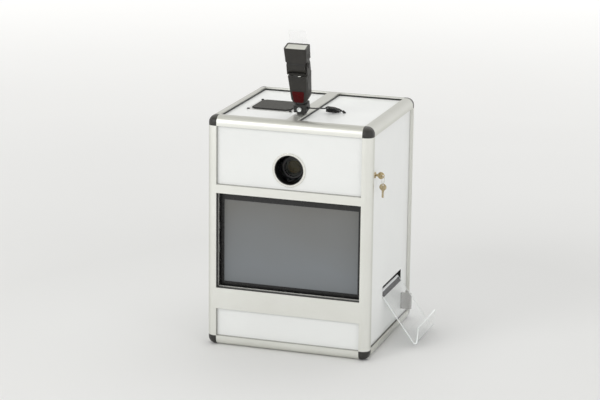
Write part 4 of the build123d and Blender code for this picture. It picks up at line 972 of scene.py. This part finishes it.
# places on the flash are in its own leaning frame: millimetres across, back and up from the shoe
flashSettings = {
    "bodyTop": 133.0,
    "bodyFoot": 36.0,
    "shoulder": 47.0,
    "frontTop": -27.0,
    "frontFoot": -23.0,
    "backTop": 37.0,
    "backFoot": 33.0,
    "sideTop": 32.5,
    "sideFoot": 28.0,
}

swivelPlace = Vector(joints["flash_swivel"]["pos_m"])
flashUp = Vector(joints["flash_swivel"]["axis"]).normalized()
flashBase = placeAlong(swivelPlace - flashUp * flashSettings["bodyTop"] / 1000, flashUp, (1, 0, 0))


def flashSpot(across, back, up):
    return flashBase @ Vector((across / 1000, back / 1000, up / 1000))


def flashDirection(across, back, up):
    return (flashBase.to_3x3() @ Vector((across, back, up))).normalized()


def onFlash(across, back, up, outwards, sideways=(1, 0, 0)):
    return placeAlong(flashSpot(across, back, up), flashDirection(*outwards), flashDirection(*sideways))


def flashRectangle(wide, tall, corner):
    return [(x / 1000, y / 1000) for x, y in roundedRectangle(wide, tall, corner)]


def addFlashFrame(shape, place, outer, inner, thick):
    # flat frame between two rounded rectangles, each given as width, height and corner
    addHoledPlate(shape, place, flashRectangle(*outer), flashRectangle(*inner), thick)


def bodyFace(side, up):
    # distance of the body's front, back or side from its axis at a height
    low = flashSettings["shoulder" if side == "side" else "bodyFoot"]
    share = (up - low) / (flashSettings["bodyTop"] - low)
    foot, top = flashSettings[side + "Foot"], flashSettings[side + "Top"]
    return foot + (top - foot) * share


# which way the body's faces look
frontOut = (0, -1, -0.0412)
backOut = (0, 1, -0.0412)
sideOut = (1, 0, -0.052)

# heights up the flash, in millimetres
flashHeights = {
    "lockWheel": 26.2,
    "dial": 66,
    "sideDoors": 84,
    "display": 112,
    "collars": (128.6, 122.4),
    "turnRing": 134.0,
    "indexMark": 136.6,
    "tiltAxis": 167,
    "headShadeStrip": 179,
    "headRibs": 196,
    "headSeam": 226.0,
    "windowFrame": 232.2,
}

redWindowSettings = {"middle": 59.5, "top": 42.0, "foot": 33.4, "height": 41.0, "corner": 5.0, "rim": 1.6}


def windowOutline(grow, steps=6):
    # rounded trapezoid, wider at its top
    settings = redWindowSettings
    halfHigh = settings["height"] / 2 + grow
    corners = []
    for side, level in ((1, 1), (-1, 1), (-1, -1), (1, -1)):
        halfWide = settings["top" if level > 0 else "foot"] / 2 + grow
        corners.append(Vector((side * halfWide, level * halfHigh)))
    points = []
    reach = settings["corner"] + grow
    for index, corner in enumerate(corners):
        before = corner + (corners[index - 1] - corner).normalized() * reach
        after = corner + (corners[(index + 1) % 4] - corner).normalized() * reach
        for step in range(steps + 1):
            share = step / steps
            bend = before * (1 - share) ** 2 + corner * 2 * share * (1 - share) + after * share ** 2
            points.append(tuple(bend / 1000))
    return points


def makeRedWindow():
    shape = bmesh.new()
    up = redWindowSettings["middle"]
    place = onFlash(0, bodyFace("front", up), up, frontOut)
    addPrism(shape, place, windowOutline(-0.1), 0.0019, 0.0008)
    finishShape(shape, "flashRedWindow", ["redWindow"], "root", ["flash_red_window"], 50)
    # two lamps behind the window, with a faint painted glow though they are not lit: across, up, size and
    # steps
    shape = bmesh.new()
    for across, height, size, steps in ((1.5, 70, 1, 32), (-8, 60, 0.6, 28)):
        spot = onFlash(across, bodyFace("front", height) - 1.3, height, frontOut)
        outline = [(0.0046 * size, -0.0008), (0.0046 * size, 0.0003), (0.0036 * size, 0.0006), (0, 0.0006)]
        addLathe(shape, spot, outline, steps)
    finishShape(shape, "flashRedSpots", ["redSpot"], "root", smoothAngle=50)
    shape = bmesh.new()
    addHoledPlate(shape, place, windowOutline(redWindowSettings["rim"]), windowOutline(0), 0.0011)
    finishShape(shape, "flashWindowFrame", ["flashTrim"], "root")


# across, up and radius
flashButtons = [(-15, 86, 3.2), (-5, 86, 3.2), (5, 86, 3.2), (15, 86, 3.2), (14, 54, 4.2), (-14, 54, 3.0)]


def makeFlashBack():
    # display, buttons and dial on the back of the body
    shape = bmesh.new()
    up = flashHeights["display"]
    place = onFlash(0, bodyFace("back", up) - 0.3, up, backOut, (-1, 0, 0))
    addFlashFrame(shape, place, (44, 29, 3.5), (37, 22, 1.5), 0.0016)
    addPrism(shape, place, flashRectangle(37.2, 22.2, 1.5), 0.0008, 0, 1)
    for across, height, radius in flashButtons:
        spot = onFlash(across, bodyFace("back", height) - 0.4, height, backOut)
        size = radius / 1000
        outline = [(size * 1.25, 0), (size * 1.25, 0.0006), (size * 1.08, 0.0008), (size * 1.02, 0.0005)]
        outline += [(size, 0.0020), (size * 0.8, 0.0024), (0, 0.0025)]
        addLathe(shape, spot, outline, 28)
    up = flashHeights["dial"]
    spot = onFlash(0, bodyFace("back", up) - 0.4, up, backOut)
    ribs = ribbed(0.03, 36)
    outline = [(0.0098, 0), (0.0098, 0.0008), (0.0090, 0.0010), (0.0088, 0.0030, ribs)]
    outline += [(0.0080, 0.0034, ribs), (0.0052, 0.0034), (0.0048, 0.0029), (0, 0.0028)]
    addLathe(shape, spot, outline, 144)
    finishShape(shape, "flashControls", ["flashTrim", "lcd"], "root")


def makeBatteryDoor():
    # door over the batteries on one side, socket cover on the other, both with finger ribs
    shape = bmesh.new()
    up = flashHeights["sideDoors"]
    for side in (1, -1):
        outwards = (side * sideOut[0], 0, sideOut[2])
        place = onFlash(side * (bodyFace("side", up) - 0.3), 6, up, outwards, (0, 1, 0))
        tall = 72 if side > 0 else 44
        addPrism(shape, place, flashRectangle(42, tall, 5), 0.0011, 0.0003)
        for rib in range(7):
            height = up - tall / 2 + 7 + rib * 2.6
            spot = onFlash(side * (bodyFace("side", height) + 0.9), 6, height, outwards, (0, 1, 0))
            addBlock(shape, spot, (0.024, 0.0012, 0.0010), 0.0003)
    finishShape(shape, "flashSideDoors", ["flash"], "root")


def makeFlashSeams():
    # collars round the body's top and the wheel that locks the foot
    shape = bmesh.new()
    for up, grow, thick in zip(flashHeights["collars"], (0.35, 0.3), (1.0, 0.7)):
        wide = 2 * (bodyFace("side", up) + grow)
        deep = bodyFace("back", up) - bodyFace("front", up) + 2 * grow
        place = onFlash(0, 5, up, (0, 0, 1))
        addFlashFrame(shape, place, (wide, deep, 7.4), (wide - 3, deep - 3, 6), thick / 1000)
    place = onFlash(0, 0, flashHeights["lockWheel"], (0, 0, 1))
    ribs = ribbed(0.035, 40)
    outline = [(0.0150, 0), (0.0188, 0.0006, ribs), (0.0194, 0.0016, ribs), (0.0194, 0.0062, ribs)]
    outline += [(0.0186, 0.0074, ribs), (0.0150, 0.0080)]
    addLathe(shape, place, outline, 160)
    finishShape(shape, "flashLockWheel", ["flashTrim"], "root")


def makeTurretDetails():
    shape = bmesh.new()
    place = onFlash(0, 0, flashHeights["turnRing"], (0, 0, 1))
    ribs = ribbed(0.012, 54)
    outline = [(0.0262, 0), (0.02745, 0.0006, ribs), (0.02745, 0.0042, ribs), (0.0262, 0.0048)]
    addLathe(shape, place, outline, 216, closed=True)
    # pale index mark of the turning ring, and the release button on the tilt axis
    mark = onFlash(9, -26.1, flashHeights["indexMark"], (0.33, -1, 0))
    addPrism(shape, mark, flashRectangle(9.0, 2.4, 0.8), 0.0007, 0, 1)
    button = onFlash(36.9, 0, flashHeights["tiltAxis"], (1, 0, 0))
    outline = [(0.0076, 0), (0.0076, 0.0010), (0.0066, 0.0016), (0.0050, 0.0012), (0, 0.0009)]
    addLathe(shape, button, outline, 40)
    finishShape(shape, "turretRing", ["flashTrim", "mark"], "turret")


headSettings = {"foot": 185.6, "top": 234.0, "sideFoot": 36.5, "sideTop": 39.3}


def headSide(up):
    share = (up - headSettings["foot"]) / (headSettings["top"] - headSettings["foot"])
    return headSettings["sideFoot"] + (headSettings["sideTop"] - headSettings["sideFoot"]) * share


def makeHeadDetails():
    shape = bmesh.new()
    # seam of the front cap and finger ribs on the sides
    up = flashHeights["headSeam"]
    wide = 2 * headSide(up)
    place = onFlash(0, -1.7, up, (0, 0, 1))
    addFlashFrame(shape, place, (wide + 0.7, 49.0, 6.4), (wide - 4, 44, 5), 0.0010)
    for side in (1, -1):
        for rib in range(6):
            height = flashHeights["headRibs"] + rib * 3.2
            spot = onFlash(side * headSide(height), 0, height, (side, 0, -0.06), (0, 1, 0))
            addBlock(shape, spot, (0.026, 0.0013, 0.0010), 0.0004)
    finishShape(shape, "headTrim", ["flash"], "head")
    shape = bmesh.new()
    place = onFlash(0, -5, flashHeights["windowFrame"], (0, 0, 1))
    addFlashFrame(shape, place, (71.5, 39.4, 4), (67.0, 35.0, 2.5), 0.0018)
    # dark strip below the head's front: painted shade standing for a recess
    spot = onFlash(0, -26.55, flashHeights["headShadeStrip"], (0, -1, 0))
    addBlock(shape, spot, (0.0618, 0.0038, 0.0006), 0.0002)
    finishShape(shape, "headWindowFrame", ["flashTrim"], "head")


flashWindowSettings = {
    "wide": 68.0,
    "deep": 36.0,
    "thick": 2.5,
    "back": -5.0,
    "up": 231.5,
    "ridges": 20,
    "ridge": 0.6,  # depth of a ridge
}


def makeFlashWindow():
    # window moulded with fine ridges across it
    shape = bmesh.new()
    settings = flashWindowSettings
    side = settings["wide"] / 2
    halves = settings["ridges"] * 2
    rows = []
    for half in range(halves + 1):
        back = settings["back"] - settings["deep"] / 2 + settings["deep"] * half / halves
        top = settings["up"] + settings["thick"] - (settings["ridge"] if half % 2 else 0)
        corners = ((-side, top), (side, top), (side, settings["up"]), (-side, settings["up"]))
        rows.append([shape.verts.new(flashSpot(across, back, up)) for across, up in corners])
    for first, second in zip(rows, rows[1:]):
        addBand(shape, first, second)
    shape.faces.new(rows[0])
    shape.faces.new(rows[-1][::-1])
    finishShape(shape, "flashWindow", ["flashWindow"], "head", ["flash_lens"], 20)


def makeClampKnob():
    knob = joints["knob_turn"]
    shape = bmesh.new()
    place = placeAlong(Vector(knob["pos_m"]), -Vector(knob["axis"]))
    knurl = ribbed(0.045, 30)
    outline = [(0, -0.012), (0.0030, -0.012), (0.0030, 0.0010), (0.0070, 0.0005), (0.0078, 0.0009, knurl)]
    outline += [(0.0080, 0.0020, knurl), (0.0080, 0.0062, knurl), (0.0076, 0.0070, knurl), (0.0066, 0.0073)]
    outline += [(0.0058, 0.0068), (0.0034, 0.0067), (0.0030, 0.0058, hexagon), (0, 0.0056)]
    addLathe(shape, place, outline, 120)
    finishShape(shape, "clampKnob", ["knob"], "knob", ["clamp_knob"])


makeRedWindow()
makeFlashBack()
makeBatteryDoor()
makeFlashSeams()
makeTurretDetails()
makeHeadDetails()
makeFlashWindow()
makeClampKnob()
print("flash made")

keySettings = {
    "thickness": 0.0022,
    "bow": 0.012,
    "hole": 0.0025,
    "holeIn": 0.0046,
    "blade": 0.0070,
    "bladeOverlap": 0.0015,
    "cuts": (0.0009, 0.0019, 0.0012, 0.0023, 0.0015, 0.0020),
}


def bowPoints(count):
    # round bow with two shallow thumb flats
    points = []
    for step in range(count):
        angle = 2 * math.pi * step / count
        reach = keySettings["bow"] * (1 - 0.035 * (0.5 - 0.5 * math.cos(4 * angle)))
        points.append((reach * math.cos(angle), reach * math.sin(angle)))
    return points


def bladeOutline(length):
    wide = keySettings["blade"]
    points = [(-wide / 2, 0), (-wide / 2, -length + 0.002), (0, -length), (wide / 2, -length + 0.002)]
    cuts = keySettings["cuts"]
    for index, cut in enumerate(cuts):
        spot = -length + 0.004 + (length - 0.011) * (index + 0.5) / len(cuts)
        points += [(wide / 2, spot - 0.0011), (wide / 2 - cut, spot), (wide / 2, spot + 0.0011)]
    return points + [(wide / 2, 0)]


def addKey(shape, place, bladeLength):
    # place has its origin at the bow's middle, Y towards the ring hole, Z through the key
    thick = keySettings["thickness"]
    plate = place @ Matrix.Translation((0, 0, -thick / 2))
    turned = [(y, x) for x, y in bowPoints(40)]
    hole = [(y, x) for x, y in circlePoints(keySettings["hole"], 40)]
    shift = keySettings["bow"] - keySettings["holeIn"]
    hole = [(x, y + shift) for x, y in hole]
    addHoledPlate(shape, plate, turned, hole, thick)
    blade = place @ Matrix.Translation((0, -keySettings["bow"] + keySettings["bladeOverlap"], -thick * 0.42))
    addPrism(shape, blade, bladeOutline(bladeLength), thick * 0.84)
    collar = place @ Matrix.Translation((0, -keySettings["bow"] - 0.0002, 0))
    addBlock(shape, collar, (0.0088, 0.0030, thick * 0.98), 0.0004)


def makeKeys():
    keyLow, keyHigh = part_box("door_key")
    bow, overlap = keySettings["bow"], keySettings["bladeOverlap"]
    shape = bmesh.new()
    bowMiddle = Vector((keyHigh.x - bow, lockCentre.y, lockCentre.z))
    place = placeAlong(bowMiddle, (0, -1, 0), (0, 0, -1))
    addKey(shape, place, bowMiddle.x - bow + overlap - keyLow.x)
    finishShape(shape, "doorKey", ["key"], "lock", ["door_key"])
    spareLow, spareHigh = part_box("spare_key")
    spareMiddle = Vector(((spareLow.x + spareHigh.x) / 2, lockCentre.y, spareHigh.z - bow))
    shape = bmesh.new()
    place = placeAlong(spareMiddle, (0, -1, 0), (1, 0, 0))
    addKey(shape, place, spareHigh.z - 2 * bow + overlap - spareLow.z)
    finishShape(shape, "spareKey", ["spareKey"], "spare", ["spare_key"])


def makeLockFace():
    # ridge round the keyway
    shape = bmesh.new()
    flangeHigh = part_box("lock_barrel")[1].x
    place = placeAlong(Vector((flangeHigh, lockCentre.y, lockCentre.z)), (1, 0, 0))
    outline = [(0.0088, -0.0004), (0.0088, 0.0003), (0.0084, 0.0006)]
    outline += [(0.0078, 0.0006), (0.0074, 0.0003), (0.0074, -0.0004)]
    addLathe(shape, place, outline, 64, closed=True)
    finishShape(shape, "lockRidge", ["lock"], "door")


makeKeys()
makeLockFace()
print("lock and keys made")

# the tray is one bent sheet with clear faces; its edges have a painted glow and its upper end a pale band of
# painted highlight
traySettings = {
    # corners of the sheet's middle line before it is bent, across and up
    "top": (0.26320, 0.18398),
    "foot": (0.39670, 0.00290),
    "lip": (0.40270, 0.07200),
    "thickness": 0.004,
    "bend": 0.007,
    "bendSteps": 10,
    "endHighlightBand": 0.0075,  # length of the pale band at the sheet's upper end, a painted highlight
}


def traySection():
    top, foot, lip = (Vector(traySettings[key]) for key in ("top", "foot", "lip"))
    down, rise = (foot - top).normalized(), (lip - foot).normalized()
    turn = down.angle(rise)
    setback = traySettings["bend"] * math.tan(turn / 2)
    start, end = foot - down * setback, foot + rise * setback
    inwards = Vector((-down.y, down.x))
    if inwards.dot(rise) < 0:
        inwards = -inwards
    centre = start + inwards * traySettings["bend"]
    first = math.atan2(*(start - centre).yx)
    last = math.atan2(*(end - centre).yx)
    if last < first:
        last += 2 * math.pi * round((first + turn - last) / (2 * math.pi))
    half = traySettings["thickness"] / 2
    inner, outer = [], []
    for side, line in ((-half, inner), (half, outer)):
        line.append(top - inwards * side)
        line.append(top - inwards * side + down * traySettings["endHighlightBand"])
        for step in range(traySettings["bendSteps"] + 1):
            angle = first + (last - first) * step / traySettings["bendSteps"]
            line.append(centre + Vector((math.cos(angle), math.sin(angle))) * (traySettings["bend"] + side))
        lipSide = Vector((-rise.y, rise.x))
        if lipSide.dot(centre - end) < 0:
            lipSide = -lipSide
        line.append(lip - lipSide * side)
    return inner, outer


def makeTray():
    low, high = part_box("print_tray")
    inner, outer = traySection()
    shape = bmesh.new()
    nearInner, nearOuter = ([shape.verts.new((x, low.y, z)) for x, z in line] for line in (inner, outer))
    farInner, farOuter = ([shape.verts.new((x, high.y, z)) for x, z in line] for line in (inner, outer))
    for near, far in ((nearInner, farInner), (nearOuter, farOuter)):
        addBand(shape, near, far, closed=False)[0].material_index = 2
    for line, other in ((nearInner, nearOuter), (farInner, farOuter)):
        addBand(shape, line, other, 1, closed=False)
    for end, finishIndex in ((0, 2), (-1, 1)):
        corners = (nearInner[end], nearOuter[end], farOuter[end], farInner[end])
        shape.faces.new(corners).material_index = finishIndex
    # the edges glow as painted light; the band at the upper end is a painted highlight
    used = ["acrylic", "acrylicEdge", "trayEndHighlight"]
    finishShape(shape, "printTray", used, "tray", ["print_tray"], 20)


makeTray()
print("tray made")

lightSettings = {
    "horizon": (0.900, 0.900, 0.905),
    "zenith": (0.500, 0.495, 0.460),
    "worldStrength": 1.07,
    "softboxes": [
        # name, place, aim, width, power, colour
        ("keyBox", (-2.6, -4.2, 3.0), (0, 0, 0.5), 2.4, 62, (1.0, 1.0, 0.98)),
        ("fillBox", (3.6, -2.2, 2.2), (0, 0, 0.4), 2.2, 10, (0.98, 0.99, 1.0)),
        ("topBox", (0.2, 0.6, 4.2), (0, 0, 0.5), 4.0, 48, (0.97, 0.98, 1.0)),
    ],
}


def makeLights():
    world = bpy.data.worlds.new("studio")
    world.use_nodes = True
    background = world.node_tree.nodes["Background"]
    background.inputs["Strength"].default_value = lightSettings["worldStrength"]
    # pale along the horizon, darker and warmer overhead
    direction = addNode(world, "TexCoord", {}).outputs["Generated"]
    height = addNode(world, "SeparateXYZ", {"Vector": direction}).outputs["Z"]
    sky = colourRamp(world, height, lightSettings["horizon"], lightSettings["zenith"], 0.34, 0.80)
    world.node_tree.links.new(sky, background.inputs["Color"])
    bpy.context.scene.world = world
    for name, place, aim, width, power, colour in lightSettings["softboxes"]:
        data = bpy.data.lights.new(name, "AREA")
        data.shape = "DISK"
        data.size = width
        data.energy = power
        data.color = colour
        light = bpy.data.objects.new(name, data)
        light.matrix_world = placeAlong(place, Vector(place) - Vector(aim))
        light.visible_glossy = name != "topBox"
        bpy.context.scene.collection.objects.link(light)


floorSettings = {
    "size": 40.0,
    "near": grey(0.79),
    "far": (0.93, 0.93, 0.935),
    "glow": 0.42,
    "fadeFrom": 1.4,
    "fadeTo": 8.0,
}


def makeFloor():
    plain = {"Roughness": 0.75, "Specular IOR Level": 0.2, "Emission Color": (1, 1, 1, 1)}
    finish = newFinish("studioFloor", plain)
    point = addNode(finish, "TexCoord", {}).outputs["Object"]
    away = addNode(finish, "VectorMath", {0: point}, operation="LENGTH").outputs["Value"]
    away = maths(finish, "ADD", away, maths(finish, "MULTIPLY", noiseAt(finish, point, 1.5, 2), 0.4))
    fade = numberRamp(finish, away, 0, 1, floorSettings["fadeFrom"], floorSettings["fadeTo"])
    tone = colourRamp(finish, fade, floorSettings["near"], floorSettings["far"], 0, 1)
    toShader(finish, "Base Color", tone)
    toShader(finish, "Emission Strength", numberRamp(finish, fade, 0, floorSettings["glow"], 0, 1))
    half = floorSettings["size"] / 2
    mesh = bpy.data.meshes.new("studioFloor")
    corners = [(-half, -half, 0), (half, -half, 0), (half, half, 0), (-half, half, 0)]
    mesh.from_pydata(corners, [], [(0, 1, 2, 3)])
    mesh.materials.append(finish)
    floor = bpy.data.objects.new("studioFloor", mesh)
    bpy.context.scene.collection.objects.link(floor)


makeFloor()
makeLights()
bpy.context.scene.view_settings.view_transform = "Standard"
print("stage and lights made")
